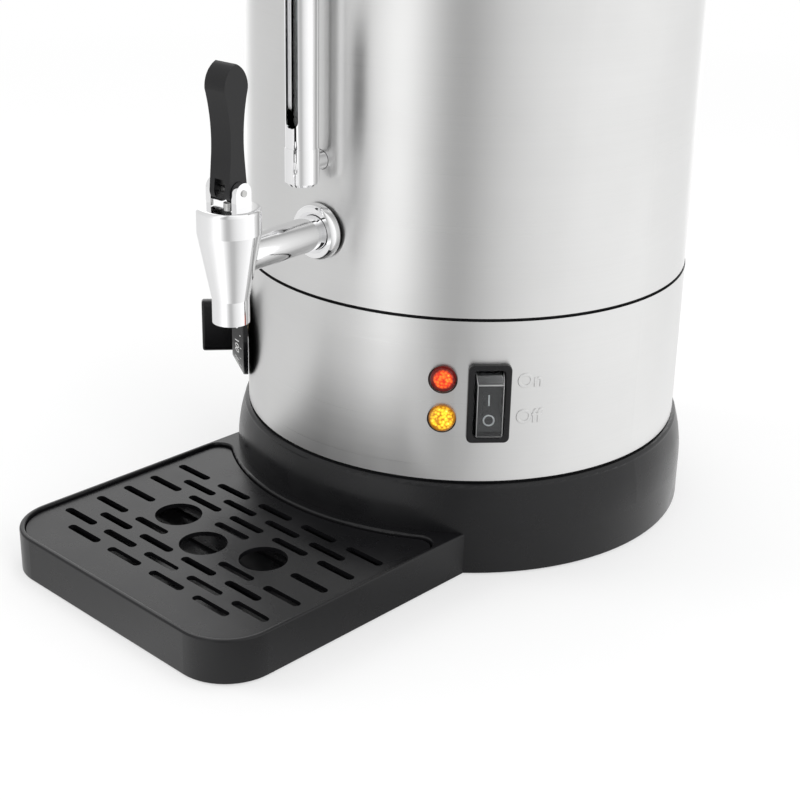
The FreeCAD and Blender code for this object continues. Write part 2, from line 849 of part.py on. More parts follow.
def make_lid():
    """Pressed lid: a skirt over the rim, a wall that drops into the tank, and a low dome."""
    wall = d.tank_wall
    plug = d.tank_radius - wall - 0.9
    low = LID_SEAT - d.lid_plug_depth
    dome = plug - d.lid_gutter
    bend = cap_bend(dome, CROWN_TOP - low)
    edge = LID_SEAT - d.lid_fall
    body = turned_body("lid", [
        (0, CROWN_TOP - wall),
        (dome, low - wall, wall - bend),
        (plug, low - wall),
        (plug, LID_SEAT),
        (d.lid_radius - wall, LID_SEAT),
        (d.lid_radius - wall, edge),
        (d.lid_radius, edge),
        (d.lid_radius, LID_SEAT + wall - 2),
        (d.lid_radius - 2, LID_SEAT + wall, 2),
        (plug - wall, LID_SEAT + wall),
        (plug - wall, low),
        (dome, low),
        (0, CROWN_TOP, bend),
    ])
    vent = new_sketch(body, "XY_Plane", at=(0, 0, CROWN_TOP))
    circle(vent, 0, d.vent_reach, d.vent_radius)
    pocket(body, vent, d.lid_rise)
    hole = new_sketch(body, "XY_Plane", at=(0, 0, CROWN_TOP))
    circle(hole, 0, 0, d.handle_screw_radius + d.screw_gap)
    pocket(body, hole, 2)


def make_lid_knob():
    """Round grip on a neck at the middle of the lid."""
    low = CROWN_TOP + 0.1
    top = CROWN_TOP + d.knob_tall
    bore = d.handle_screw_radius + d.running_gap
    cap = d.knob_radius - 6
    turned_body("lid_knob", [
        (bore, low),
        (d.knob_neck + 4, low),
        (d.knob_neck + 4, low + 3),
        (d.knob_neck, low + 7, -5.7),
        (d.knob_neck, low + 12),
        (d.knob_radius, top - 13, -15),
        (d.knob_radius, top - 8),
        (cap, top - 2, 6),
        (0, top, cap_bend(cap, 2)),
        (0, low + 16),
        (bore, low + 16),
    ])


def make_lid_screw():
    """Screw from under the lid into the knob."""
    under = CROWN_TOP - d.tank_wall - 0.1
    turned_body("lid_screw", [
        (0, under - 2.4),
        (5, under - 2.4),
        (5.5, under),
        (d.handle_screw_radius, under),
        (d.handle_screw_radius, under + 15),
        (0, under + 15),
    ])


def is_grip_edge(edge):
    """A long edge of the loop, clear of the faces that meet the jacket."""
    box = edge.BoundBox
    flat = box.YMax - box.YMin < 0.01 and abs(abs(box.YMax) - d.handle_tall.amount / 2) < 0.01
    round_edge = hasattr(edge.Curve, "Radius")
    seat = round_edge and abs(edge.Curve.Radius - d.jacket_radius.amount) < 1
    return flat and not seat


def make_handle(label, azimuth):
    """Loop grip whose two posts stand on the jacket."""
    body = panel_body(label, azimuth, d.handle_height)
    half = d.handle_half
    grip = d.handle_grip
    outline = new_sketch(body, "XZ_Plane")
    foot = HANDLE_FOOT
    trace(outline, [
        (half, d.handle_reach - grip),
        (half - grip, d.handle_reach, grip),
        (grip - half, d.handle_reach),
        (-half, d.handle_reach - grip, grip),
        (-half, foot),
        (half, foot),
    ])
    pad(body, outline, d.handle_tall, both=True)
    gap = new_sketch(body, "XZ_Plane")
    rounded(gap, grip - half, foot - 9, half - grip, d.handle_reach - grip, 8)
    pocket(body, gap, d.handle_tall, both=True)
    seat = new_sketch(body, "XZ_Plane")
    circle(seat, 0, 0, d.jacket_radius + d.seat_gap)
    pocket(body, seat, d.handle_tall, both=True)
    soften(body, d.handle_tall / 4, is_grip_edge)
    screws = new_sketch(body, "XY_Plane", at=(0, 0, foot))
    for side in (-1, 1):
        circle(screws, side * d.handle_screw_side, 0, d.handle_screw_radius + d.running_gap)
    pocket(body, screws, 28, along=True)


def make_handle_screws():
    """Screws from inside the jacket into the posts of both handles."""
    body = panel_body("handle_screws", 90, d.handle_height)
    head = HANDLE_FOOT + 3.5
    for flip in (False, True):
        start = -head if flip else head
        for radius, length in ((4.4, 2.6), (d.handle_screw_radius, 22)):
            sketch = new_sketch(body, "XY_Plane", at=(0, 0, start))
            for side in (-1, 1):
                circle(sketch, side * d.handle_screw_side, 0, radius)
            pad(body, sketch, length, backwards=flip)


# Pouring tap

def tap_part(label):
    """A body on the upright line through the middle of the tap."""
    return new_body(label, back=-d.tap_reach, swing=d.tap_azimuth)


def cone_radius_at(height):
    slope = (d.cone_radius - d.spout_radius) / (d.cone_top - d.cone_start)
    return d.spout_radius + slope * (height - d.cone_start)


def make_tap_body():
    """Spout, cone and the shank that carries it."""
    body = tap_part("tap_body")
    outside = new_sketch(body, "XZ_Plane")
    trace(outside, [
        (0, d.spout_bottom),
        (d.spout_radius, d.spout_bottom),
        (d.spout_radius, d.cone_start),
        (d.cone_radius, d.cone_top),
        (0, d.cone_top),
    ])
    turned(body, outside)
    shank = new_sketch(body, "XZ_Plane")
    circle(shank, 0, d.shank_height, d.shank_radius)
    pad(body, shank, d.tap_reach - d.shank_end, backwards=True)
    inside = new_sketch(body, "XZ_Plane")
    seat_top = d.valve_seat + 2.5
    throat = cone_radius_at(seat_top + 3) - d.chamber_wall
    trace(inside, [
        (0, d.spout_bottom),
        (d.spout_bore, d.spout_bottom),
        (d.spout_bore, d.valve_seat),
        (throat - 0.6, seat_top),
        (throat, seat_top + 3),
        (d.cone_radius - d.chamber_wall, d.cone_top),
        (0, d.cone_top),
    ])
    grooved(body, inside)
    bore = new_sketch(body, "XZ_Plane")
    circle(bore, 0, d.shank_height, d.shank_bore)
    pocket(body, bore, d.tap_reach - d.shank_end)


def make_tap_bonnet():
    """Cap on the tap's body, with two ears for the lever's pin."""
    body = tap_part("tap_bonnet")
    sketch = new_sketch(body, "XZ_Plane")
    bore = d.stem_radius + d.running_gap
    trace(sketch, [
        (bore, d.cone_top),
        (d.cone_radius, d.cone_top),
        (d.cone_radius, BONNET_TOP - 2),
        (d.cone_radius - 2, BONNET_TOP, 2),
        (bore, BONNET_TOP),
    ])
    turned(body, sketch)
    ear_half = 5
    for side in (-1, 1):
        ear = new_sketch(body, "YZ_Plane", at=(0, 0, side * EAR_INNER))
        trace(ear, [
            (ear_half, BONNET_TOP - 0.5),
            (ear_half, PIN_HEIGHT),
            (0, PIN_HEIGHT + ear_half, ear_half),
            (-ear_half, PIN_HEIGHT, ear_half),
            (-ear_half, BONNET_TOP - 0.5),
        ])
        pad(body, ear, d.ear_thick, backwards=side < 0)
    pin = new_sketch(body, "YZ_Plane", at=(0, 0, -EAR_INNER - d.ear_thick))
    circle(pin, 0, PIN_HEIGHT, d.pin_radius + d.running_gap)
    pocket(body, pin, 2 * (EAR_INNER + d.ear_thick), along=True)


def make_tap_lever():
    """Fork around the stem with an upright paddle that is pulled forwards."""
    body = tap_part("tap_lever")
    heel = 6
    neck = PIN_HEIGHT + 16
    top = PIN_HEIGHT + d.lever_tall
    side = new_sketch(body, "YZ_Plane")
    trace(side, [
        (heel, PIN_HEIGHT, heel),
        (4.5, neck),
        (7.5, top - 12, -90),
        (0, top, 12),
        (-7.5, top - 12, 12),
        (-4.5, neck, -90),
        (-heel, PIN_HEIGHT),
        (0, PIN_HEIGHT - heel, heel),
    ])
    pad(body, side, d.lever_width, both=True)
    fork = new_sketch(body, "XZ_Plane")
    gap = d.cheek_gap / 2
    rectangle(fork, -gap, PIN_HEIGHT - heel - 1, gap, PIN_HEIGHT + heel)
    pocket(body, fork, 2 * heel + 4, both=True)
    pin = new_sketch(body, "YZ_Plane", at=(0, 0, -d.lever_width / 2))
    circle(pin, 0, PIN_HEIGHT, d.pin_radius + d.running_gap)
    pocket(body, pin, d.lever_width, along=True)


def make_lever_pin():
    """Pin across the ears that the lever turns on."""
    body = tap_part("lever_pin")
    half = EAR_INNER + d.ear_thick + 0.6
    sketch = new_sketch(body, "YZ_Plane", at=(0, 0, -half))
    circle(sketch, 0, PIN_HEIGHT, d.pin_radius)
    pad(body, sketch, 2 * half)


def make_valve_stem():
    """Rod that lifts the seal off its seat, with a collar for the spring."""
    body = tap_part("valve_stem")
    foot = d.valve_seat + 4.2
    collar = d.valve_seat + 9.4
    wide = d.spring_radius + 1
    sketch = new_sketch(body, "XZ_Plane")
    trace(sketch, [
        (0, foot),
        (d.stem_radius, foot),
        (d.stem_radius, collar),
        (wide, collar),
        (wide, collar + 1.2),
        (d.stem_radius, collar + 1.2),
        (d.stem_radius, STEM_TOP),
        (0, STEM_TOP),
    ])
    turned(body, sketch)


def make_valve_seal():
    """Soft cup on the foot of the stem."""
    low = d.valve_seat + 0.4
    high = d.valve_seat + 9.2
    wide = d.spout_bore + 1.2
    bore = d.stem_radius + d.running_gap
    turned_body("valve_seal", [
        (0, low),
        (wide - 1.2, low),
        (wide, low + 1.5),
        (wide, high),
        (bore, high),
        (bore, d.valve_seat + 4),
        (0, d.valve_seat + 4),
    ], back=-d.tap_reach, swing=d.tap_azimuth)


def make_valve_spring():
    """Open coil between the stem's collar and the bonnet."""
    low = d.valve_seat + 10.6 + d.spring_wire + 0.1
    high = d.cone_top - d.spring_wire - 0.1
    pitch = (high - low) / d.spring_turns
    coil = Part.makeHelix(pitch.amount, (high - low).amount, d.spring_radius.amount)
    ring = Part.makeCircle(d.spring_wire.amount, Vector(d.spring_radius.amount, 0, 0), Vector(0, 1, 0))
    feature = doc.addObject("Part::Feature", "valve_spring")
    feature.Label = "valve_spring"
    feature.Shape = Part.Wire(coil.Edges).makePipeShell([Part.Wire(ring)], True, True)
    place(feature, back=-d.tap_reach, height=low, swing=d.tap_azimuth)


def make_tap_mountings():
    """The rings, sleeve and nut along the tap's shank, from the outside in."""
    outside = d.jacket_radius + 0.1
    face = outside + d.washer_thick
    bore = d.shank_radius + d.screw_gap
    front = face + d.flange_thick
    inner = d.jacket_radius - d.sheet_wall
    tank_inner = d.tank_radius - d.tank_wall
    nut_corner = d.nut_across / math.sqrt(3)
    seal = root(tank_inner * tank_inner - nut_corner * nut_corner)
    height = d.shank_height
    azimuth = d.tap_azimuth
    turned_panel("tap_washer", azimuth, height, ring_corners(bore, d.flange_radius - 0.6, outside, face))
    turned_panel("tap_escutcheon", azimuth, height, [
        (bore, face),
        (d.flange_radius, face),
        (d.flange_radius, face + 2),
        (bore + 4, front, 4.6),
        (bore + 1.6, front),
        (bore, front - 1.6),
    ])
    sleeve = ring_corners(bore, bore + 2.4, d.tank_radius + 0.1, inner - 0.7)
    turned_panel("tap_spacer", azimuth, height, sleeve)
    seal_low = seal - d.washer_thick - 0.1
    turned_panel("tap_seal", azimuth, height, ring_corners(bore, nut_corner, seal_low, seal - 0.1))
    start = seal_low - d.nut_thick
    hex_nut("tap_nut", azimuth, height, d.shank_radius + d.running_gap, d.nut_across, start,
            d.nut_thick)


# Drip tray inserts

def make_drip_pan():
    """Lift-out pan with low ribs across its floor."""
    body = new_body("drip_pan")
    outline = new_sketch(body, "XY_Plane", at=(0, 0, WELL_FLOOR))
    tray_outline(outline, d.pan_fit, d.well_rear_radius + d.pan_fit)
    pad(body, outline, GRATE_UNDER - WELL_FLOOR)
    soften(body, d.well_corner, is_horn)
    inset = d.pan_fit + d.pan_wall
    inside = new_sketch(body, "XY_Plane", at=(0, 0, GRATE_UNDER))
    tray_outline(inside, inset, d.well_rear_radius + inset)
    pocket(body, inside, GRATE_UNDER - WELL_FLOOR - d.pan_wall)
    half = WELL_HALF - inset - 6
    ribs = new_sketch(body, "XY_Plane", at=(0, 0, WELL_FLOOR + d.pan_wall))
    for step in range(-2, 4):
        reach = d.mid_hole_reach + step * d.slot_pitch
        rectangle(ribs, -half, -reach - 1, half, -reach + 1)
    pad(body, ribs, d.pan_rib)


def make_drip_grate():
    """Flat grate with staggered slots and three round holes."""
    body = new_body("drip_grate")
    outline = new_sketch(body, "XY_Plane", at=(0, 0, GRATE_UNDER))
    tray_outline(outline, d.pan_fit, d.well_rear_radius + d.pan_fit)
    pad(body, outline, d.grate_thick)
    soften(body, d.well_corner, is_horn)
    even = (-4, -2, 0, 2, 4)
    odd = (-3, -1, 1, 3)
    ahead = 2 * d.side_hole_reach - d.first_row
    rows = [
        (d.first_row, even),
        (d.first_row + d.row_pitch, odd),
        (d.first_row + 2 * d.row_pitch, even),
        (d.mid_hole_reach - 19.2, (0,)),
        (d.side_hole_reach, (-4, 4)),
        (ahead - 2 * d.row_pitch, (-4, -2, 2, 4)),
        (ahead - d.row_pitch, odd),
        (ahead, even),
        (ahead + d.row_pitch, odd),
    ]
    half_long = d.slot_long / 2
    half_wide = d.slot_wide / 2
    for reach, columns in rows:
        sketch = new_sketch(body, "XY_Plane", at=(0, 0, GRATE_TOP))
        for column in columns:
            left = column * d.slot_pitch - half_long
            low = -reach - half_wide
            rounded(sketch, left, low, left + d.slot_long, low + d.slot_wide, half_wide - 0.1)
        pocket(body, sketch, d.grate_thick)
    holes = new_sketch(body, "XY_Plane", at=(0, 0, GRATE_TOP))
    circle(holes, 0, -d.mid_hole_reach, d.hole_radius)
    for side in (-1, 1):
        circle(holes, side * d.hole_side, -d.side_hole_reach, d.hole_radius)
    pocket(body, holes, d.grate_thick)


# Sight gauge

def gauge_part(label, corners):
    """A round piece on the upright line of the gauge's glass."""
    return turned_body(label, corners, back=-d.gauge_reach, swing=d.tap_azimuth)


def make_gauge_block(label, height, up):
    """Chrome block on a shank through both walls, with a socket for the glass that opens up or down."""
    reach = 9 * up
    socket = d.glass_radius + 2
    body = gauge_part(label, [
        (0, height - 10 * up),
        (d.gauge_block - 1.5, height - 10 * up),
        (d.gauge_block, height - 8.5 * up),
        (d.gauge_block, height + reach),
        (socket, height + reach),
        (socket, height - 4 * up),
        (3, height - 4 * up),
        (3, height - 7 * up),
        (0, height - 7 * up),
    ])
    shank = new_sketch(body, "XZ_Plane", at=(0, 0, -socket - 0.4))
    circle(shank, 0, height, d.gauge_shank)
    pad(body, shank, d.gauge_reach - d.shank_end - socket - 0.4, backwards=True)
    bore = new_sketch(body, "XZ_Plane", at=(0, 0, -socket + 1))
    circle(bore, 0, height, 2.4)
    pocket(body, bore, d.gauge_reach - d.shank_end)


def make_gauge():
    """Glass tube in its two blocks, with seals, a slotted guard and the nuts inside the tank."""
    make_gauge_block("gauge_foot", d.gauge_low, 1)
    make_gauge_block("gauge_head", d.gauge_high, -1)
    low = d.gauge_low - 3.8
    high = d.gauge_high + 3.8
    inner = d.glass_radius - d.glass_wall
    gauge_part("gauge_glass", ring_corners(inner, d.glass_radius, low, high))
    seals = new_body("gauge_seals", back=-d.gauge_reach, swing=d.tap_azimuth)
    for start in (d.gauge_low - 3.9, d.gauge_high - 3.1):
        sketch = new_sketch(seals, "XY_Plane", at=(0, 0, start))
        circle(sketch, 0, 0, d.glass_radius + 1.9)
        circle(sketch, 0, 0, d.glass_radius + 0.05)
        pad(seals, sketch, 7)
    wall_end = d.gauge_low + 9
    guard = gauge_part("gauge_guard", ring_corners(
        d.guard_radius - d.sheet_wall, d.guard_radius, wall_end, d.gauge_high - 9))
    slot = new_sketch(guard, "XZ_Plane")
    half = d.guard_slot / 2
    rounded(slot, -half, wall_end + 10, half, d.gauge_high - 19, half - 0.1)
    pocket(guard, slot, d.guard_radius + 1, along=True)
    tank_inner = d.tank_radius - d.tank_wall
    across = 14
    start = tank_inner - 0.6 - 4
    nuts = panel_body("gauge_nuts", d.tap_azimuth, d.gauge_low)
    for height in (0, d.gauge_high - d.gauge_low):
        sketch = new_sketch(nuts, "XY_Plane", at=(0, height, start))
        hexagon(sketch, across)
        circle(sketch, 0, 0, d.gauge_shank + d.running_gap)
        pad(nuts, sketch, 4)


# Power switch

def make_switch_bezel():
    """Raised frame around the switch."""
    body = panel_body("switch_bezel", d.switch_azimuth, d.switch_height)
    sketch = new_sketch(body, "XY_Plane", at=(0, 0, d.band_radius + 0.05))
    rounded(sketch, -d.bezel_wide / 2, -d.bezel_tall / 2, d.bezel_wide / 2, d.bezel_tall / 2, 3)
    rounded(sketch, -BOOT_HALF_WIDE - d.seat_gap, -BOOT_HALF_TALL - d.seat_gap,
            BOOT_HALF_WIDE + d.seat_gap, BOOT_HALF_TALL + d.seat_gap, 1.8)
    pad(body, sketch, d.bezel_proud)
    front = d.band_radius.amount + 0.05 + d.bezel_proud.amount
    soften(body, 0.8, lambda edge: edge.BoundBox.ZMin > front - 0.01)


def make_switch_body():
    """Housing behind the bezel, with a well for the rocker and blade terminals."""
    body = panel_body("switch_body", d.switch_azimuth, d.switch_height)
    front = d.band_radius
    back = front - d.switch_depth
    sketch = new_sketch(body, "XY_Plane", at=(0, 0, back))
    rectangle(sketch, -SWITCH_HALF_WIDE, -SWITCH_HALF_TALL, SWITCH_HALF_WIDE, SWITCH_HALF_TALL)
    pad(body, sketch, d.switch_depth)
    well = new_sketch(body, "XY_Plane", at=(0, 0, front))
    half_wide = d.rocker_wide / 2 + 0.5
    half_tall = d.rocker_tall / 2 + 2
    rectangle(well, -half_wide, -half_tall, half_wide, half_tall)
    pocket(body, well, 14)
    trunnion = new_sketch(body, "YZ_Plane", at=(0, 0, -half_wide - 1.2))
    circle(trunnion, 0, ROCKER_PIVOT, 1.5 + d.running_gap)
    pocket(body, trunnion, 2 * half_wide + 2.4, along=True)
    blades = new_sketch(body, "XY_Plane", at=(0, 0, back))
    for across in (-4, 4):
        for up in (-12, 0, 12):
            rectangle(blades, as_size(across - 0.4), as_size(up - 3), as_size(across + 0.4), as_size(up + 3))
    pad(body, blades, 8, backwards=True)


def make_switch_rocker():
    """Rocker on two trunnions, resting with its upper end pressed in."""
    body = new_body("switch_rocker", height=d.switch_height, turn=d.switch_azimuth, lean=90)
    reach = ROCKER_PIVOT
    spin = f"rotation(vector(0; 0; 1); {d.switch_azimuth.formula}) * rotation(vector(1; 0; 0); 90)"
    tip = f"rotation(vector(1; 0; 0); -{d.rocker_tilt.formula})"
    base = f"vector(0; {AXIS_BACK.formula}; {d.switch_height.formula})"
    out = f"vector(0; 0; {reach.formula})"
    body.setExpression("Placement", f"placement({base} + {spin} * {out}; {spin} * {tip})")
    half_tall = d.rocker_tall / 2
    side = new_sketch(body, "YZ_Plane")
    trace(side, [
        (half_tall - 2.5, -3.5),
        (half_tall, 9.5),
        (0, 8.3, -90),
        (-half_tall, 9.5, -90),
        (2.5 - half_tall, -3.5),
    ])
    pad(body, side, d.rocker_wide, both=True)
    pins = new_sketch(body, "YZ_Plane")
    circle(pins, 0, 0, 1.5)
    pad(body, pins, d.rocker_wide + 3, both=True)


def make_switch_boot():
    """Clear soft cover that stands over the rocker inside the bezel."""
    body = panel_body("switch_boot", d.switch_azimuth, d.switch_height)
    start = d.band_radius + 0.1
    outside = new_sketch(body, "XY_Plane", at=(0, 0, start))
    rounded(outside, -BOOT_HALF_WIDE, -BOOT_HALF_TALL, BOOT_HALF_WIDE, BOOT_HALF_TALL, 1.5)
    pad(body, outside, d.boot_rise)
    front = (start + d.boot_rise).amount
    soften(body, 1.2, lambda edge: edge.BoundBox.ZMin > front - 0.01)
    inside = new_sketch(body, "XY_Plane", at=(0, 0, start))
    wall = d.boot_wall
    rounded(inside, wall - BOOT_HALF_WIDE, wall - BOOT_HALF_TALL, BOOT_HALF_WIDE - wall,
            BOOT_HALF_TALL - wall, 0.9)
    pocket(body, inside, d.boot_rise - wall, along=True)


# Indicator lamps

def make_lamp_lens(label, height):
    """Coloured dome with a thin flange on the band."""
    face = d.band_radius + 0.05
    cap = d.lens_radius - 1.8
    cap_rise = 0.8
    turned_panel(label, d.lamp_azimuth, height, [
        (0, face),
        (d.lens_radius, face),
        (d.lens_radius, face + 1.4),
        (d.lens_radius - 0.8, face + 1.4),
        (cap, face + d.lens_rise - cap_rise, 3),
        (0, face + d.lens_rise, cap_bend(cap, cap_rise)),
    ])


def make_lamp_bodies():
    """Lamp barrels behind the two lenses."""
    body = panel_body("lamp_bodies", d.lamp_azimuth, d.amber_height)
    for rise in (0, d.red_height - d.amber_height):
        sketch = new_sketch(body, "XY_Plane", at=(0, rise, d.band_radius - d.lamp_depth))
        circle(sketch, 0, 0, d.lamp_body)
        pad(body, sketch, d.lamp_depth)


def make_lamp_nuts():
    """Ring nuts that hold the lamps against the inside of the band."""
    body = panel_body("lamp_nuts", d.lamp_azimuth, d.amber_height)
    outer = d.lamp_body + 2.6
    inner = d.band_radius - d.sheet_wall
    seat = root(inner * inner - outer * outer) - 0.05
    for rise in (0, d.red_height - d.amber_height):
        sketch = new_sketch(body, "XY_Plane", at=(0, rise, seat - 3))
        circle(sketch, 0, 0, outer)
        circle(sketch, 0, 0, d.lamp_body + d.running_gap)
        pad(body, sketch, 3)


# Thermostat

def make_thermostat_knob():
    """Dial with a rim, a sloping skirt and a bar grip, hollow behind for the thermostat's nut."""
    back = d.band_radius + d.dial_gap
    top = back + d.dial_rim + d.dial_cone
    recess_top = d.band_radius + d.bush_proud + 0.3
    recess = d.stat_nut / math.sqrt(3) + 0.8
    body = turned_panel("thermostat_knob", d.knob_azimuth, d.knob_height, [
        (0, recess_top),
        (recess, recess_top),
        (recess, back),
        (d.dial_radius, back),
        (d.dial_radius, back + d.dial_rim - 0.8),
        (d.dial_radius - 0.8, back + d.dial_rim, 0.8),
        (d.dial_crown, top),
        (0, top),
    ])
    grip = new_sketch(body, "XY_Plane", at=(0, 0, back + d.dial_rim))
    half_thick = d.grip_thick / 2
    half_tall = d.grip_tall / 2
    rounded(grip, -half_thick, -half_tall, half_thick, half_tall, 3)
    pad(body, grip, d.grip_proud - d.dial_rim)
    front = (back + d.grip_proud).amount
    soften(body, 1.5, lambda edge: edge.BoundBox.ZMin > front - 0.01)
    bore = new_sketch(body, "XY_Plane", at=(0, 0, back))
    circle(bore, 0, 0, d.shaft_radius + d.running_gap)
    pocket(body, bore, 14, along=True)


def make_thermostat():
    """Control behind the band: its body and bush, the nut and the shaft."""
    inner = d.band_radius - d.sheet_wall
    front = root(inner * inner - d.stat_radius * d.stat_radius) - 0.2
    back = front - d.stat_depth
    tip = d.band_radius + d.bush_proud
    bore = d.shaft_radius + d.running_gap
    turned_panel("thermostat_body", d.knob_azimuth, d.knob_height, [
        (0, back),
        (d.stat_radius, back),
        (d.stat_radius, front),
        (d.bush_radius, front),
        (d.bush_radius, tip),
        (bore, tip),
        (bore, back + 12),
        (0, back + 12),
    ])
    hex_nut("thermostat_nut", d.knob_azimuth, d.knob_height, d.bush_radius + d.running_gap,
            d.stat_nut, d.band_radius + 0.05, 2.2)
    shaft = panel_body("thermostat_shaft", d.knob_azimuth, d.knob_height)
    sketch = new_sketch(shaft, "XY_Plane", at=(0, 0, back + 12.2))
    circle(sketch, 0, 0, d.shaft_radius)
    pad(shaft, sketch, d.band_radius + d.dial_gap + 13 - back - 12.2)


def make_thermostat_bulb():
    """Sensing bulb under the tank and the fine tube down to the thermostat."""
    height = (d.tank_bottom - d.bulb_radius - 0.1).amount
    middle = ((d.main_ring + d.warm_ring) / 2).amount
    level = (d.shield_height - 8).amount
    foot = (d.knob_height + d.stat_radius).amount
    far = (d.band_radius - 14).amount
    start = Vector(-d.bulb_long.amount / 2, -middle, height)
    bulb = Part.makeCylinder(d.bulb_radius.amount, d.bulb_long.amount, start, Vector(1, 0, 0))
    corners = [(0, -middle, height), (0, -middle, level), (0, -far, level), (0, -far, foot)]
    tube = bent_wire(corners, d.capillary.amount, 4)
    feature = doc.addObject("Part::Feature", "thermostat_bulb")
    feature.Label = "thermostat_bulb"
    feature.Shape = bulb.fuse(tube)
    place(feature, turn=d.knob_azimuth)


# Heating parts

def make_element(label, ring_radius, tube_radius):
    """Tube heater bent into an open ring, with two legs down through the shield."""
    body = new_body(label, turn=90 + d.leg_angle / 2)
    level = d.tank_bottom - d.main_tube - 0.1
    ring = new_sketch(body, "XZ_Plane")
    circle(ring, ring_radius, level, tube_radius)
    turned(body, ring, 360 - d.leg_angle)
    leg_angles = (0, -d.leg_angle)
    legs = new_sketch(body, "XY_Plane", at=(0, 0, d.leg_bottom))
    for angle in leg_angles:
        circle(legs, ring_radius * cosine(angle), ring_radius * sine(angle), tube_radius - 0.4)
    pad(body, legs, level - d.leg_bottom)


def make_plate_with_holes(label, radius, low, thick, middle):
    """Round plate on the studs, pierced for them and for the heater legs and the sensing tube."""
    body = new_body(label, height=low)
    sketch = new_sketch(body, "XY_Plane")
    circle(sketch, 0, 0, radius)
    circle(sketch, 0, 0, middle)
    for angle in (0, 120, 240):
        circle(sketch, d.rod_circle * sine(angle), -d.rod_circle * cosine(angle), d.rod_radius + d.seat_gap)
    for ring, tube in ((d.main_ring, d.main_tube), (d.warm_ring, d.warm_tube)):
        for side in (-1, 1):
            angle = 90 + side * d.leg_angle / 2
            circle(sketch, ring * cosine(angle), ring * sine(angle), tube + 0.2)
    reach = (d.main_ring + d.warm_ring) / 2
    circle(sketch, reach * sine(d.knob_azimuth), -reach * cosine(d.knob_azimuth), d.capillary + 1)
    pad(body, sketch, thick)


def make_thermal_cutout():
    """Resetting cutout held against the middle of the tank's floor, with two blades."""
    top = d.tank_bottom - 0.1
    body = turned_body("thermal_cutout", [
        (0, top - d.cutout_tall),
        (d.cutout_radius - 1.5, top - d.cutout_tall),
        (d.cutout_radius - 1.5, top - 4),
        (d.cutout_radius, top - 4),
        (d.cutout_radius, top),
        (0, top),
    ])
    blades = new_sketch(body, "XY_Plane", at=(0, 0, top - d.cutout_tall))
    for side in (-1, 1):
        rectangle(blades, side * 4 - as_size(0.4), as_size(-3), side * 4 + as_size(0.4), as_size(3))
    pad(body, blades, 8, backwards=True)


# Mains inlet and wiring

def make_mains_inlet():
    """Three-pin appliance inlet in the rear recess."""
    body = new_body("mains_inlet", height=d.inlet_height)
    face = -d.inlet_reach
    flange = new_sketch(body, "XZ_Plane", at=(0, 0, face - 0.05))
    half_flange = d.inlet_flange / 2
    half_tall = d.inlet_tall / 2 + 1.2
    rounded(flange, -half_flange, -half_tall, half_flange, half_tall, 3)
    for side in (-1, 1):
        circle(flange, side * d.inlet_screw_side, 0, d.screw_radius + d.screw_gap)
    pad(body, flange, 2.4, backwards=True)
    case = new_sketch(body, "XZ_Plane", at=(0, 0, face + d.inlet_depth))
    half_wide = d.inlet_wide / 2
    half_case = d.inlet_tall / 2
    rectangle(case, -half_wide, -half_case, half_wide, half_case)
    pad(body, case, d.inlet_depth + 0.1, backwards=True)
    socket = new_sketch(body, "XZ_Plane", at=(0, 0, face - 2.5))
    wall = 1.8
    depth = d.inlet_depth - 6
    rounded(socket, wall - half_wide, wall - half_case, half_wide - wall, half_case - wall, 3)
    pocket(body, socket, depth + 2.5, along=True)
    pins = new_sketch(body, "XZ_Plane", at=(0, 0, face + depth + 1))
    for across, up in ((-7, 1), (0, 5), (7, 1)):
        rectangle(pins, as_size(across - 1), as_size(up - 2), as_size(across + 1), as_size(up + 2))
    pad(body, pins, depth, backwards=True)
    blades = new_sketch(body, "XZ_Plane", at=(0, 0, face + d.inlet_depth))
    for across in (-7, 0, 7):
        rectangle(blades, as_size(across - 3), as_size(-0.4), as_size(across + 3), as_size(0.4))
    pad(body, blades, 8)


def make_inlet_screws():
    """Two screws through the inlet's flange."""
    body = new_body("inlet_screws", height=d.inlet_height)
    face = d.inlet_reach + 2.45
    for radius, start, length in ((2.9, face, 1.6), (d.screw_radius, face - 9, 9)):
        sketch = new_sketch(body, "XZ_Plane", at=(0, 0, -start))
        for side in (-1, 1):
            circle(sketch, side * d.inlet_screw_side, 0, radius)
        pad(body, sketch, length, backwards=True)


def make_terminal_block():
    """Terminal block on the bottom plate, with three screw wells."""
    body = new_body("terminal_block", back=d.block_rear, height=PLATE_TOP)
    half_long = d.block_long / 2
    half_wide = d.block_wide / 2
    base = new_sketch(body, "XY_Plane")
    rounded(base, -half_long, -half_wide, half_long, half_wide, 2)
    pad(body, base, d.block_tall)
    wells = new_sketch(body, "XY_Plane", at=(0, 0, d.block_tall))
    for across in (-12, 0, 12):
        circle(wells, across, 0, 2.5)
    pocket(body, wells, 7)


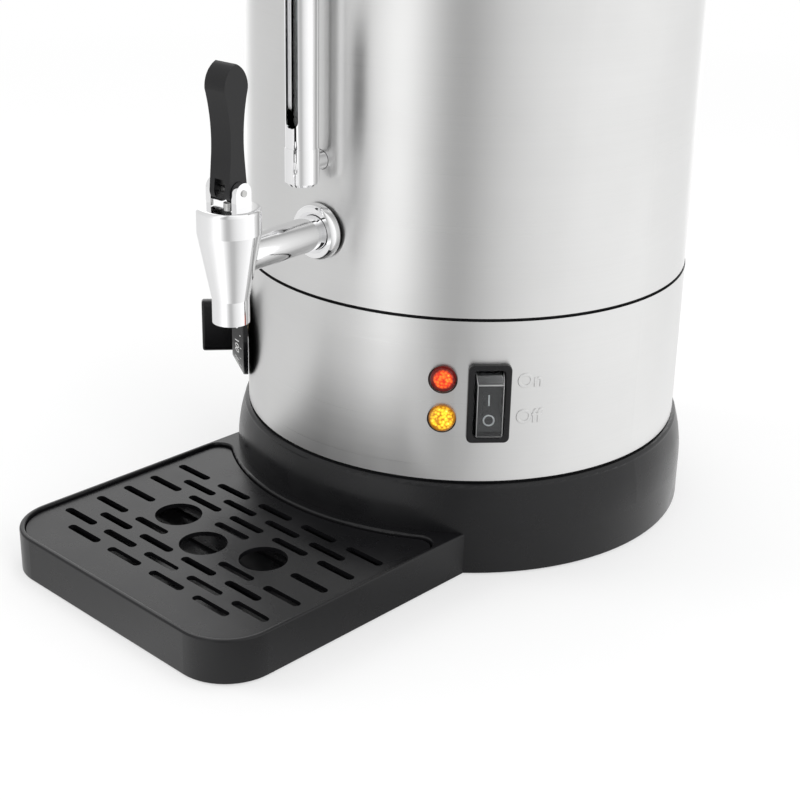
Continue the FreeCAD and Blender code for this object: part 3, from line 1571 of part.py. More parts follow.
def make_wiring():
    """Leads from the inlet to the terminals, and on to the switch, the thermostat and the heaters."""
    block_back = (d.block_rear + d.block_wide / 2).amount
    block_front = (d.block_rear - d.block_wide / 2).amount
    block_high = (PLATE_TOP + d.block_tall - 4).amount
    inlet_back = (d.inlet_reach - d.inlet_depth - 8).amount
    inlet_high = d.inlet_height.amount
    radius = d.wire_radius.amount
    bend = d.wire_bend.amount
    wires = []
    for across in (-7, 0, 7):
        end = across * 12 / 7
        middle = (inlet_back + block_back) / 2
        wires.append([
            (across, inlet_back, inlet_high),
            (across, middle, inlet_high),
            (end, middle, block_high),
            (end, block_back, block_high),
        ])
    switch_turn = math.radians(d.switch_azimuth.amount)
    stat_turn = math.radians(d.knob_azimuth.amount)
    switch_back = (d.band_radius - d.switch_depth - 8).amount
    stat_back = (d.tank_radius - d.tank_wall - d.stat_depth).amount
    targets = [(12, switch_turn, switch_back, d.switch_height.amount),
               (-12, stat_turn, stat_back, d.knob_height.amount)]
    for across, turn, reach, height in targets:
        out = Vector(math.sin(turn), -math.cos(turn), 0)
        inside = out * (reach - 24)
        wires.append([
            (across, block_front, block_high),
            (across, inside.y / 2, block_high),
            (inside.x, inside.y, block_high),
            (inside.x, inside.y, height),
            (out.x * reach, out.y * reach, height),
        ])
    feature = doc.addObject("Part::Feature", "wiring")
    feature.Label = "wiring"
    feature.Shape = Part.makeCompound([bent_wire(wire, radius, bend) for wire in wires])
    place(feature)


# Coffee basket

def make_pump_tube():
    """Riser tube with a bell foot on the tank's floor and a collar for the basket."""
    wall = d.basket_wall
    low = TANK_FLOOR + 0.1
    cone_top = low + 20
    tube = d.pump_radius
    collar = d.collar_height
    turned_body("pump_tube", [
        (d.pump_foot - wall, low),
        (d.pump_foot, low),
        (d.pump_foot, low + 4),
        (tube, cone_top),
        (tube, collar - 3),
        (tube + 4, collar - 1.5),
        (tube + 4, collar),
        (tube, collar),
        (tube, d.pump_top),
        (tube - wall, d.pump_top),
        (tube - wall, cone_top - 0.6),
        (d.pump_foot - wall, low + 3.4),
    ])


def perforate(body, top, thick, rings):
    """Rings of small holes in a round floor."""
    for radius, count in rings:
        sketch = new_sketch(body, "XY_Plane", at=(0, 0, top))
        circle(sketch, radius, 0, d.perforation)
        around(body, pocket(body, sketch, thick), count, removes=True)


def make_filter_basket():
    """Basket with a pierced floor and a sleeve that slides on the riser tube."""
    wall = d.basket_wall
    floor = d.collar_height + 0.1
    bore = d.pump_radius + 0.2
    body = turned_body("filter_basket", [
        (bore, floor),
        (d.basket_radius - 4, floor),
        (d.basket_radius, floor + 4, 4),
        (d.basket_radius, floor + d.basket_tall - wall),
        (d.basket_radius + 2.5, floor + d.basket_tall - wall),
        (d.basket_radius + 2.5, floor + d.basket_tall),
        (d.basket_radius - wall, floor + d.basket_tall),
        (d.basket_radius - wall, floor + 4),
        (d.basket_radius - 4, floor + wall, wall - 4),
        (bore + wall, floor + wall),
        (bore + wall, floor + d.basket_tall - 6),
        (bore, floor + d.basket_tall - 6),
    ])
    perforate(body, floor + wall, wall, ((24, 12), (40, 20), (56, 28), (68, 34)))


def make_basket_cover():
    """Pierced spreader plate that drops onto the basket."""
    wall = d.basket_wall
    seat = d.collar_height + 0.1 + d.basket_tall + 0.1
    bore = d.pump_radius + 0.2
    wide = d.basket_radius - wall - 0.6
    body = turned_body("basket_cover", [
        (bore, seat - 3),
        (wide, seat - 3),
        (wide, seat),
        (d.basket_radius + 2, seat),
        (d.basket_radius + 2, seat + wall),
        (wide - wall, seat + wall),
        (wide - wall, seat - 3 + wall),
        (bore, seat - 3 + wall),
    ])
    perforate(body, seat - 3 + wall, wall, ((20, 8), (38, 16), (56, 24)))


make_base_housing()
make_bottom_plate()
make_rubber_feet()
make_bottom_screws()
make_tie_rods()
make_tie_nuts()
make_lower_band()
make_outer_jacket()
make_inner_tank()
make_lid()
make_lid_knob()
make_lid_screw()
make_handle("handle_right", 90)
make_handle("handle_left", -90)
make_handle_screws()
make_tap_body()
make_tap_bonnet()
make_tap_lever()
make_lever_pin()
make_valve_stem()
make_valve_seal()
make_valve_spring()
make_tap_mountings()
make_drip_pan()
make_drip_grate()
make_gauge()
make_switch_bezel()
make_switch_body()
make_switch_rocker()
make_switch_boot()
make_lamp_lens("lamp_lens_red", d.red_height)
make_lamp_lens("lamp_lens_amber", d.amber_height)
make_lamp_bodies()
make_lamp_nuts()
make_thermostat_knob()
make_thermostat()
make_thermostat_bulb()
make_element("heating_element", d.main_ring, d.main_tube)
make_element("keep_warm_element", d.warm_ring, d.warm_tube)
make_plate_with_holes("element_clamp", d.clamp_radius, CLAMP_TOP - d.clamp_thick, d.clamp_thick, 12)
make_plate_with_holes("heat_shield", d.shield_radius, d.shield_height - d.sheet_wall, d.sheet_wall, 8)
make_thermal_cutout()
make_mains_inlet()
make_inlet_screws()
make_terminal_block()
make_wiring()
make_pump_tube()
make_filter_basket()
make_basket_cover()

doc.recompute()
for item in doc.Objects:
    if {"Invalid", "Error"} & set(item.State):
        raise ValueError(f"{item.Label} is {item.State}")

os.makedirs("parts", exist_ok=True)
pieces = [item for item in doc.Objects if item.TypeId in ("PartDesign::Body", "Part::Feature")]
for piece in pieces:
    if piece.Shape.isNull() or not piece.Shape.isValid():
        raise ValueError(f"{piece.Label} has no sound shape")
    piece.Shape.exportStep(f"parts/{piece.Label}.step")
    print(f"{piece.Label}: {len(piece.Shape.Solids)} solids, {piece.Shape.Volume / 1000:.2f} ml")
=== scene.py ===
"""Looks of a steel coffee urn with a black base, a drip tray, a tap and its controls."""
import json
import math

import bmesh
import bpy
from mathutils import Matrix, Vector


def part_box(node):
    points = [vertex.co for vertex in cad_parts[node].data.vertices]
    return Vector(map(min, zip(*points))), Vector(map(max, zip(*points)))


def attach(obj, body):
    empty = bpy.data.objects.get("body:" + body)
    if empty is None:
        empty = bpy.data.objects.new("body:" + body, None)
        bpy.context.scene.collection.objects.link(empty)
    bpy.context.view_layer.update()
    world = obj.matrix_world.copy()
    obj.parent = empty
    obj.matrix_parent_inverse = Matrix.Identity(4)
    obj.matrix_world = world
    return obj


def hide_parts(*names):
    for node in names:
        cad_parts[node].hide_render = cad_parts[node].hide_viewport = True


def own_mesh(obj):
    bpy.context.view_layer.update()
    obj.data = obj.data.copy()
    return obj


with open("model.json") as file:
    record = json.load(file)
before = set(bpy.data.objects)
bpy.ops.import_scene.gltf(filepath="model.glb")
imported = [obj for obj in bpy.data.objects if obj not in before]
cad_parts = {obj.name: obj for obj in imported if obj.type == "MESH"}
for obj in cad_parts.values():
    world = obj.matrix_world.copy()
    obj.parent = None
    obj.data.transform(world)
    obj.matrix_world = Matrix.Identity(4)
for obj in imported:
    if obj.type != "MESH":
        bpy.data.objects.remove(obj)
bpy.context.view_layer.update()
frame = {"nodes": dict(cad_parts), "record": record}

# Lengths are in metres. The urn's upright axis stands at AXIS_Y, and azimuths turn from the front
# (-Y) to the right (+X).
AXIS_Y = 0.06525
BAND_RADIUS = 0.125
BAND_SEAM = 0.1416
LENS_RADIUS = 0.0076

# The dial: where it stands, its sloping skirt's rim (radius, and depth before the band) and slope,
# and the circle and the arc in degrees on which its numbers stand.
DIAL_AZIMUTH = math.radians(-40.2)
DIAL_HEIGHT = 0.0951
SKIRT_RADIUS = 0.0282
SKIRT_DEPTH = 0.0034
SKIRT_SLOPE = math.atan2(0.0058, 0.0107)
NUMBER_RADIUS = 0.0222
ARC_START = -135
ARC_SWEEP = 270
DIAL_NUMBERS = 9
DIAL_TICKS = 17
# Each tick's half width, where it starts outside the numbers' circle, and its underside and top.
TICK_HALF = 0.0002
TICK_START = 0.0034
TICK_SKIN = (0.00002, 0.0001)

# The rocker: its pivot's distance from the urn's axis, and its dished front, which stands
# ROCKER_FRONT before the pivot at the middle and ROCKER_FLARE more at its ends.
SWITCH_AZIMUTH = math.radians(47.8)
SWITCH_HEIGHT = 0.0968
ROCKER_PIVOT = 0.118
ROCKER_REST_TILT = math.radians(-8)
ROCKER_FRONT = 0.0083
ROCKER_HALF = 0.0155
ROCKER_FLARE = 0.0012
ROCKER_DISH = 0.00134

# The switch's clear boot: half width and half height of its foot, then half width, bottom and top
# of its front, how far the front stands out, its wall, and the width of its rounded edges.
BOOT_BASE = (0.0074, 0.0181)
BOOT_FRONT = (0.0068, -0.0162, 0.0126)
BOOT_RISE = 0.0071
BOOT_WALL = 0.0003
BOOT_EDGE = 0.0004

# Corners of a box's faces, where corners 0 to 3 go round its back and 4 to 7 round its front.
BOX_BACK = (0, 1, 2, 3)
BOX_FRONT = (4, 5, 6, 7)
BOX_SIDES = ((0, 1, 5, 4), (1, 2, 6, 5), (2, 3, 7, 6), (3, 0, 4, 7))

WHITE = (1, 1, 1, 1)


# Node trees and materials

class Nodes:
    """A node tree that is being put together."""

    def __init__(self, tree):
        self.tree = tree

    def node(self, kind, *values, **settings):
        """A node whose first inputs take the values."""
        made = self.tree.nodes.new(kind)
        for key, value in settings.items():
            setattr(made, key, value)
        for target, value in zip(made.inputs, values):
            self.feed(target, value)
        return made

    def feed(self, target, value):
        """Put a number or another node's output on an input."""
        if isinstance(value, bpy.types.NodeSocket):
            self.tree.links.new(value, target)
        else:
            target.default_value = value

    def math(self, operation, *values):
        return self.node("ShaderNodeMath", *values, operation=operation).outputs[0]

    def vector(self, operation, *values):
        return self.node("ShaderNodeVectorMath", *values, operation=operation).outputs[0]

    def length(self, vector):
        made = self.node("ShaderNodeVectorMath", vector, operation="LENGTH")
        return made.outputs["Value"]

    def parts(self, vector):
        return self.node("ShaderNodeSeparateXYZ", vector).outputs

    def between(self, value, low, high, start=0.0, end=1.0):
        """The value carried from start and end over to low and high."""
        return self.node("ShaderNodeMapRange", value, start, end, low, high).outputs[0]

    def ramp(self, value, stops):
        made = self.node("ShaderNodeValToRGB", value)
        keys = made.color_ramp.elements
        while len(keys) < len(stops):
            keys.new(0.5)
        for key, (spot, colour) in zip(keys, stops):
            key.position = spot
            key.color = (*colour, 1)
        return made.outputs[0]

    def mix(self, share, first, second):
        """A blend of two colours, all second where share is 1."""
        made = self.node("ShaderNodeMix", share, data_type="RGBA")
        self.feed(made.inputs[6], first)
        self.feed(made.inputs[7], second)
        return made.outputs[2]


class Surface(Nodes):
    """A procedural material that is being put together around one principled shader."""

    def __init__(self, name, colour, metal=0.0, rough=0.5):
        self.material = bpy.data.materials.new(name)
        self.material.use_nodes = True
        super().__init__(self.material.node_tree)
        self.shader = self.tree.nodes["Principled BSDF"]
        self.set("Base Color", (*colour, 1))
        self.set("Metallic", metal)
        self.set("Roughness", rough)
        self.place = self.node("ShaderNodeTexCoord").outputs["Object"]

    def set(self, socket, value):
        self.feed(self.shader.inputs[socket], value)

    def noise(self, size, vector=None, detail=3.0, rough=0.5):
        """Cloudy noise whose grains are about size metres wide."""
        made = self.node("ShaderNodeTexNoise", vector or self.place)
        made.inputs["Scale"].default_value = 1 / size
        made.inputs["Detail"].default_value = detail
        made.inputs["Roughness"].default_value = rough
        return made.outputs["Fac"]

    def cells(self, size):
        """Rounded cells about size metres wide, 0 at their middles."""
        made = self.node("ShaderNodeTexVoronoi", self.place)
        made.inputs["Scale"].default_value = 1 / size
        return made.outputs["Distance"]

    def rings(self, size, around=5):
        """Where streaks run round the urn's axis: size metres apart, with around cells a metre."""
        x, y, height = self.parts(self.place)
        back = self.math("SUBTRACT", y, AXIS_Y)
        square = self.math("MULTIPLY_ADD", x, x, self.math("MULTIPLY", back, back))
        reach = self.math("ADD", self.math("SQRT", square), height)
        return self.node("ShaderNodeCombineXYZ", self.math("MULTIPLY", x, around),
                         self.math("MULTIPLY", y, around),
                         self.math("DIVIDE", reach, size)).outputs[0]

    def shade(self, value, dark, light):
        return self.ramp(value, [(0.25, dark), (0.75, light)])

    def dent(self, height, depth, strength=1.0):
        """Raise the surface by up to depth metres where height is 1."""
        made = self.node("ShaderNodeBump")
        made.inputs["Strength"].default_value = strength
        made.inputs["Distance"].default_value = depth
        self.feed(made.inputs["Height"], height)
        self.set("Normal", made.outputs[0])


def brushed_round(name, light, dark, rough, seam=None):
    """Steel with fine brushing round the urn's axis and faint hand marks, dark at its seam."""
    skin = Surface(name, light, metal=1.0, rough=rough)
    fine = skin.noise(1.0, skin.rings(0.00018), detail=3, rough=0.6)
    broad = skin.noise(1.0, skin.rings(0.003), detail=2)
    cloud = skin.noise(0.05, detail=3)
    streak = skin.math("MULTIPLY_ADD", fine, 0.7, skin.math("MULTIPLY", broad, 0.3))
    blend = skin.math("MULTIPLY_ADD", cloud, 0.5, skin.math("MULTIPLY", streak, 0.5))
    colour = skin.shade(blend, dark, light)
    if seam:
        half_width = 0.00075
        shadow = (0.03, 0.03, 0.032, 1)
        near = skin.math("COMPARE", skin.parts(skin.place)["Z"], seam, half_width)
        colour = skin.mix(near, colour, shadow)
    skin.set("Base Color", colour)
    skin.set("Roughness", skin.between(streak, rough - 0.03, rough + 0.04, 0.3, 0.7))
    skin.dent(fine, 0.00001, 0.12)
    tangent = skin.node("ShaderNodeTangent", direction_type="RADIAL", axis="Z")
    skin.set("Tangent", tangent.outputs[0])
    skin.set("Anisotropic", 0.8)
    skin.set("Anisotropic Rotation", 0.25)
    return skin.material


def plain_metal(name, light, dark, rough, grain=0.0006, depth=0.00001):
    """Metal sheet, plate or casting with a fine even grain."""
    skin = Surface(name, light, metal=1.0, rough=rough)
    fine = skin.noise(grain, detail=4)
    cloud = skin.noise(0.012, detail=3)
    skin.set("Base Color", skin.shade(cloud, dark, light))
    skin.set("Roughness", skin.between(cloud, rough * 0.75, rough * 1.3, 0.3, 0.7))
    skin.dent(fine, depth, 0.5)
    return skin.material


def moulding(name, dark, light, rough, depth=0.00003, coat=0.0, ior=1.45):
    """Moulded plastic with a fine spark-eroded grain and worn, slightly shinier patches."""
    skin = Surface(name, dark, rough=rough)
    fine = skin.noise(0.0005, detail=3, rough=0.6)
    cloud = skin.noise(0.03, detail=4)
    blend = skin.math("MULTIPLY_ADD", fine, 0.4, skin.math("MULTIPLY", cloud, 0.6))
    skin.set("Base Color", skin.shade(blend, dark, light))
    skin.set("Roughness", skin.between(cloud, rough - 0.07, rough + 0.06, 0.3, 0.7))
    skin.dent(fine, depth, 0.6)
    skin.set("IOR", ior)
    skin.set("Coat Weight", coat)
    skin.set("Coat Roughness", 0.12)
    return skin.material


def soft_rubber(name, dark, light):
    skin = Surface(name, dark, rough=0.72)
    speck = skin.noise(0.0009, detail=5, rough=0.7)
    skin.set("Base Color", skin.shade(speck, dark, light))
    skin.set("Roughness", skin.between(speck, 0.62, 0.84))
    skin.dent(speck, 0.00004, 0.5)
    skin.set("Sheen Weight", 0.15)
    return skin.material


def clear(name, tint, rough, ior):
    """Clear glass or soft clear vinyl with faint smears."""
    skin = Surface(name, tint, rough=rough)
    smear = skin.noise(0.006, detail=4)
    skin.set("Roughness", skin.between(smear, rough * 0.5, rough * 1.8, 0.3, 0.7))
    skin.dent(smear, 0.00003, 0.3)
    skin.set("Transmission Weight", 1.0)
    skin.set("IOR", ior)
    return skin.material


def glow_centre(node):
    """The middle of a lens's glow in the photograph's view, a little above the lens's own."""
    low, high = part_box(node)
    return (low + high) / 2 + Vector((0.0004, 0.0004, 0.0011))


def lit_lens(name, node, rim, body, glow, hot, strength, lit, edge):
    """A lit lens: bright pebbled prisms to lit of its radius, a ring, and darkness from edge on."""
    skin = Surface(name, body, rough=0.12)
    centre = glow_centre(node)
    outwards = Vector((centre.x, centre.y - AXIS_Y, 0)).normalized()
    offset = skin.vector("SUBTRACT", skin.place, centre)
    across = skin.vector("CROSS_PRODUCT", offset, outwards)
    radius = skin.math("DIVIDE", skin.length(across), LENS_RADIUS)
    cell = skin.cells(0.0014)
    patch = skin.noise(0.0035, detail=2)
    pebble = skin.math("MULTIPLY_ADD", patch, 0.5, skin.math("MULTIPLY", cell, 0.75))
    skin.set("Base Color", skin.ramp(radius, [(lit - 0.1, body), (lit + 0.02, rim),
                                              (edge - 0.03, rim), (edge, (0.012, 0.006, 0.005))]))
    skin.set("Emission Color", skin.ramp(pebble, [(0.16, hot), (0.36, glow),
                                                  (0.62, glow), (0.8, body)]))
    fade = skin.between(radius, strength, 0.02, lit - 0.16, lit + 0.04)
    sparkle = skin.between(pebble, 1.0, 0.3, 0.3, 0.85)
    skin.set("Emission Strength", skin.math("MULTIPLY", fade, sparkle))
    skin.dent(cell, 0.0002, 0.6)
    skin.set("IOR", 1.3)
    skin.set("Coat Weight", 0.25)
    skin.set("Coat Roughness", 0.03)
    return skin.material


def wound_leads(name):
    """Braided sleeving on the leads inside the base."""
    skin = Surface(name, (0.42, 0.1, 0.05), rough=0.65)
    weave = skin.node("ShaderNodeTexWave", skin.place, wave_type="BANDS",
                      bands_direction="DIAGONAL")
    weave.inputs["Scale"].default_value = 700
    braid = weave.outputs["Fac"]
    skin.set("Base Color", skin.shade(braid, (0.3, 0.06, 0.03), (0.6, 0.2, 0.1)))
    skin.dent(braid, 0.0001, 0.6)
    return skin.material


# One material for each slot of the record.
materials = {
    "brushed_jacket": brushed_round("brushed_jacket", (0.79, 0.79, 0.785), (0.72, 0.72, 0.715),
                                    0.3, seam=BAND_SEAM),
    "tank_steel": brushed_round("tank_steel", (0.77, 0.77, 0.76), (0.69, 0.69, 0.68), 0.18),
    "black_moulding": moulding("black_moulding", (0.004, 0.004, 0.0045), (0.008, 0.008, 0.009),
                               0.28, ior=1.4),
    "black_grip": moulding("black_grip", (0.004, 0.004, 0.0045), (0.009, 0.009, 0.01),
                           0.2, depth=0.00001, ior=1.42),
    "plated_steel": plain_metal("plated_steel", (0.7, 0.7, 0.69), (0.55, 0.55, 0.54), 0.3),
    "chrome": plain_metal("chrome", (0.97, 0.97, 0.975), (0.94, 0.94, 0.945), 0.06,
                          depth=0.000002),
    "rubber": soft_rubber("rubber", (0.018, 0.018, 0.018), (0.05, 0.05, 0.05)),
    "silicone": soft_rubber("silicone", (0.66, 0.64, 0.6), (0.82, 0.8, 0.76)),
    "brass": plain_metal("brass", (0.76, 0.58, 0.27), (0.6, 0.42, 0.18), 0.28),
    "copper": plain_metal("copper", (0.74, 0.4, 0.26), (0.52, 0.26, 0.17), 0.38),
    "aluminium": plain_metal("aluminium", (0.8, 0.8, 0.81), (0.68, 0.68, 0.69), 0.36,
                             grain=0.0004),
    "element_sheath": plain_metal("element_sheath", (0.36, 0.34, 0.32), (0.22, 0.2, 0.2), 0.5),
    "clear_boot": clear("clear_boot", (0.93, 0.95, 0.96), 0.06, 1.42),
    "gauge_glass": clear("gauge_glass", (0.96, 0.98, 0.98), 0.01, 1.5),
    "red_lens": lit_lens("red_lens", "lamp_lens_red", rim=(0.14, 0.005, 0.005),
                         body=(0.6, 0.03, 0.01), glow=(1.0, 0.16, 0.015), hot=(1.0, 0.62, 0.06),
                         strength=1.7, lit=0.66, edge=0.87),
    "amber_lens": lit_lens("amber_lens", "lamp_lens_amber", rim=(0.42, 0.15, 0.008),
                           body=(0.5, 0.2, 0.01), glow=(1.0, 0.66, 0.03), hot=(1.0, 0.97, 0.55),
                           strength=1.5, lit=0.8, edge=0.93),
    "white_plastic": moulding("white_plastic", (0.66, 0.64, 0.58), (0.82, 0.8, 0.75), 0.35,
                              coat=0.1),
    "wire_cover": wound_leads("wire_cover"),
}
print_white = moulding("print_white", (0.72, 0.72, 0.71), (0.85, 0.85, 0.84), 0.5, depth=0.00001)
print_grey = moulding("print_grey", (0.42, 0.43, 0.43), (0.55, 0.56, 0.56), 0.4, depth=0.00001)
# Opaque grey for the clear boot's rounded edges: a painted highlight along them.
boot_edge_highlight = moulding("boot_edge_highlight", (0.3, 0.3, 0.3), (0.4, 0.4, 0.4), 0.35, depth=0.00001)

for entry in frame["record"]["subparts"]:
    shown = frame["nodes"][entry["node"]].data
    shown.materials.clear()
    shown.materials.append(materials[entry["material_slot"]])


# Raised and printed marks

def text_mesh(name, words, size, thick, edge=0.0):
    """Words as a mesh that lies flat, centred on the origin, with thick metres above it."""
    curve = bpy.data.curves.new(name + "_line", "FONT")
    curve.body = words
    curve.size = size
    curve.align_x = "CENTER"
    curve.align_y = "CENTER"
    curve.extrude = thick
    curve.bevel_depth = edge
    curve.bevel_resolution = 1
    curve.resolution_u = 6
    flat = bpy.data.objects.new(name + "_flat", curve)
    bpy.context.scene.collection.objects.link(flat)
    bpy.context.view_layer.update()
    seen = flat.evaluated_get(bpy.context.evaluated_depsgraph_get())
    mesh = bpy.data.meshes.new_from_object(seen)
    bpy.data.objects.remove(flat)
    mesh.name = name
    return mesh


def tick_mesh(name, long):
    """A thin bar that lies flat and points up, long metres from TICK_START on."""
    bar = bmesh.new()
    end = TICK_START + long
    corners = [bar.verts.new((x, y, z)) for z in TICK_SKIN
               for x, y in ((-TICK_HALF, TICK_START), (TICK_HALF, TICK_START),
                            (TICK_HALF, end), (-TICK_HALF, end))]
    for face in (BOX_BACK, BOX_FRONT, *BOX_SIDES):
        bar.faces.new([corners[index] for index in face])
    bmesh.ops.recalc_face_normals(bar, faces=bar.faces)
    mesh = bpy.data.meshes.new(name)
    bar.to_mesh(mesh)
    bar.free()
    return mesh


def add_piece(mesh, place=Matrix()):
    """Show a mesh as a piece of the same name."""
    piece = bpy.data.objects.new(mesh.name, mesh)
    piece.matrix_world = place
    bpy.context.scene.collection.objects.link(piece)
    return piece


def add_mark(mesh, shape, material, body):
    """Lay a flat mesh on the urn: shape takes across, up and out to a point."""
    for vertex in mesh.vertices:
        vertex.co = shape(*vertex.co)
    mesh.materials.clear()
    mesh.materials.append(material)
    piece = add_piece(mesh)
    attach(piece, body)


def on_cylinder(radius, azimuth, height):
    """Lay marks round an upright cylinder about the urn's axis."""
    def shape(across, up, out):
        turn = azimuth + across / radius
        reach = radius + out
        return Vector((reach * math.sin(turn), AXIS_Y - reach * math.cos(turn), height + up))
    return shape


def outward_frame(azimuth, reach, height):
    """A point reach metres from the urn's axis, with its directions across, up and out."""
    out = Vector((math.sin(azimuth), -math.cos(azimuth), 0))
    across = Vector((math.cos(azimuth), math.sin(azimuth), 0))
    spot = Vector((0, AXIS_Y, height)) + out * reach
    return spot, across, Vector((0, 0, 1)), out


def on_dial_skirt(turn):
    """Lay marks on the dial's sloping skirt, tops outwards, at a turn about the dial's axis."""
    spot, right, up, out = outward_frame(DIAL_AZIMUTH, BAND_RADIUS, DIAL_HEIGHT)
    sine, cosine = math.sin(SKIRT_SLOPE), math.cos(SKIRT_SLOPE)
    stand = SKIRT_DEPTH + (SKIRT_RADIUS - NUMBER_RADIUS) * math.tan(SKIRT_SLOPE)

    def shape(across, lift, proud):
        radius = NUMBER_RADIUS + lift * cosine + proud * sine
        depth = stand - lift * sine + proud * cosine
        angle = turn + across / NUMBER_RADIUS
        return spot + (right * math.sin(angle) + up * math.cos(angle)) * radius + out * depth
    return shape


def on_rocker(middle):
    """Lay marks on the rocker's dished front, middle metres above its pivot."""
    spot, right, up, out = outward_frame(SWITCH_AZIMUTH, ROCKER_PIVOT, SWITCH_HEIGHT)
    tip = Matrix.Rotation(ROCKER_REST_TILT, 3, right)
    up, out = tip @ up, tip @ out

    def shape(across, lift, proud):
        rise = middle + lift
        share = min(abs(rise) / ROCKER_HALF, 1)
        face = ROCKER_FRONT + ROCKER_FLARE * share - ROCKER_DISH * share * (1 - share)
        return spot + right * across + up * rise + out * (face + proud)
    return shape


def add_dial_marks():
    """Plain numbers from 30 in tens round the dial, and a tick at each number and half way."""
    for number in range(DIAL_NUMBERS):
        turn = math.radians(ARC_START + number * ARC_SWEEP / (DIAL_NUMBERS - 1))
        words = str(30 + 10 * number)
        add_mark(text_mesh(f"dial_number_{words}", words, 0.0062, 0.00008),
                 on_dial_skirt(turn), print_white, "dial")
    for number in range(DIAL_TICKS):
        turn = math.radians(ARC_START + number * ARC_SWEEP / (DIAL_TICKS - 1))
        long = 0.0011 if number % 2 else 0.0016
        add_mark(tick_mesh(f"dial_tick_{number}", long),
                 on_dial_skirt(turn), print_white, "dial")


def add_switch_marks():
    """I and O on the rocker, and On and Off raised on the band to its right."""
    for name, words, middle in (("switch_mark_on", "I", 0.0003), ("switch_mark_off", "O", -0.0102)):
        add_mark(text_mesh(name, words, 0.0085, 0.00006), on_rocker(middle), print_grey,
                 "rocker")
    for name, words, height in (("label_on", "On", 0.108), ("label_off", "Off", 0.088)):
        add_mark(text_mesh(name, words, 0.0105, 0.0001, edge=0.0003),
                 on_cylinder(BAND_RADIUS, math.radians(57.6), height),
                 materials["brushed_jacket"], "urn")


add_dial_marks()
add_switch_marks()


# Clear boot over the switch

def boot_shell(boot, inset):
    """One skin of the boot, inset metres inside its outline: its corners and its five faces."""
    spot, right, up, out = outward_frame(SWITCH_AZIMUTH, BAND_RADIUS + 0.0001, SWITCH_HEIGHT)
    wide, tall = BOOT_BASE[0] - inset, BOOT_BASE[1] - inset
    front, low, high = BOOT_FRONT[0] - inset, BOOT_FRONT[1] + inset, BOOT_FRONT[2] - inset
    rise = BOOT_RISE - inset
    outline = [(-wide, -tall, 0), (wide, -tall, 0), (wide, tall, 0), (-wide, tall, 0),
               (-front, low, rise), (front, low, rise), (front, high, rise), (-front, high, rise)]
    corners = [boot.verts.new(spot + right * x + up * y + out * z) for x, y, z in outline]
    faces = [boot.faces.new([corners[index] for index in face])
             for face in (BOX_FRONT, *BOX_SIDES)]
    return corners, faces


def add_switch_boot():
    """A hollow clear boot with a sloped top, sides that draw in and painted highlights on its
    rounded edges.
    """
    boot = bmesh.new()
    outer, skin = boot_shell(boot, 0)
    inner, lining = boot_shell(boot, BOOT_WALL)
    bmesh.ops.reverse_faces(boot, faces=lining)
    for first, second in ((0, 1), (1, 2), (2, 3), (3, 0)):
        boot.faces.new((outer[second], outer[first], inner[first], inner[second]))
    rims = [edge for edge in boot.edges if all(face in skin for face in edge.link_faces)]
    # The bevelled rims take the opaque grey material: painted highlights along the boot's edges.
    highlight_rims = bmesh.ops.bevel(boot, geom=rims, offset=BOOT_EDGE, segments=2, affect="EDGES")
    for face in highlight_rims["faces"]:
        face.material_index = 1
        face.smooth = True
    bmesh.ops.recalc_face_normals(boot, faces=boot.faces)
    mesh = bpy.data.meshes.new("switch_boot_clear")
    boot.to_mesh(mesh)
    boot.free()
    mesh.materials.append(materials["clear_boot"])
    mesh.materials.append(boot_edge_highlight)
    piece = add_piece(mesh)
    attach(piece, "urn")
    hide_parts("switch_boot")


add_switch_boot()


# Spring in the tap

def add_valve_spring():
    """The tap's coil as a piece of its own, shown in place of the imported part."""
    shown = frame["nodes"]["valve_spring"]
    mesh = shown.data.copy()
    mesh.name = "valve_spring_coil"
    piece = add_piece(mesh, shown.matrix_world)
    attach(piece, "urn")
    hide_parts("valve_spring")
    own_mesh(piece)


add_valve_spring()


# Camera

# The photograph's camera, solved from the urn's round edges and the tray's straight ones: where it
# stands, its turn to the left, pitch down and roll in radians, and its focal length and principal
# point in pixels.
EYE = (0.5666, -0.58775, 0.4160)
TURN = 0.743
PITCH = 0.394
ROLL = 0.028
FRAME_PIXELS = 800
FOCAL_PIXELS = 1572.886
PRINCIPAL_POINT = (419.173, 379.79)


def add_camera():
    """The photograph's view: where it stands, which way it looks and how far it is rolled."""
    ahead = Vector((-math.sin(TURN) * math.cos(PITCH), math.cos(TURN) * math.cos(PITCH),
                    -math.sin(PITCH)))
    level = ahead.cross(Vector((0, 0, 1))).normalized()
    above = level.cross(ahead)
    right = level * math.cos(ROLL) + above * math.sin(ROLL)
    up = right.cross(ahead)
    data = bpy.data.cameras.new("photo_view")
    data.sensor_width = 36
    data.lens = FOCAL_PIXELS / FRAME_PIXELS * data.sensor_width
    data.shift_x = (FRAME_PIXELS / 2 - PRINCIPAL_POINT[0]) / FRAME_PIXELS
    data.shift_y = (PRINCIPAL_POINT[1] - FRAME_PIXELS / 2) / FRAME_PIXELS
    camera = bpy.data.objects.new("photo_view", data)
    facing = Matrix((right, up, -ahead)).transposed().to_4x4()
    camera.matrix_world = Matrix.Translation(EYE) @ facing
    bpy.context.scene.collection.objects.link(camera)
    bpy.context.scene.camera = camera


# Studio

# How bright the room is round the urn, as azimuth in degrees and level.
ROOM_LEVELS = [(-180, 0.95), (-165, 1.4), (-139, 1.6), (-114, 1.4), (-95, 0.74), (-65, 0.73),
               (-50, 0.75), (-24, 0.78), (-12, 0.88), (-1, 1.1), (6, 1.3), (13, 1.2), (20, 0.88),
               (27, 0.6), (33, 0.44), (40, 0.44), (48, 0.6), (55, 0.72), (63, 0.82), (72, 0.9),
               (90, 1.03), (105, 1.08), (130, 1.12), (180, 0.95)]
ROOM_BRIGHTEST = 1.6
ROOM_FILL = (0.72, 0.72, 0.72, 1)
FLOOR_PAINT = (0.86, 0.86, 0.86, 1)
FLOOR_HALF = 8
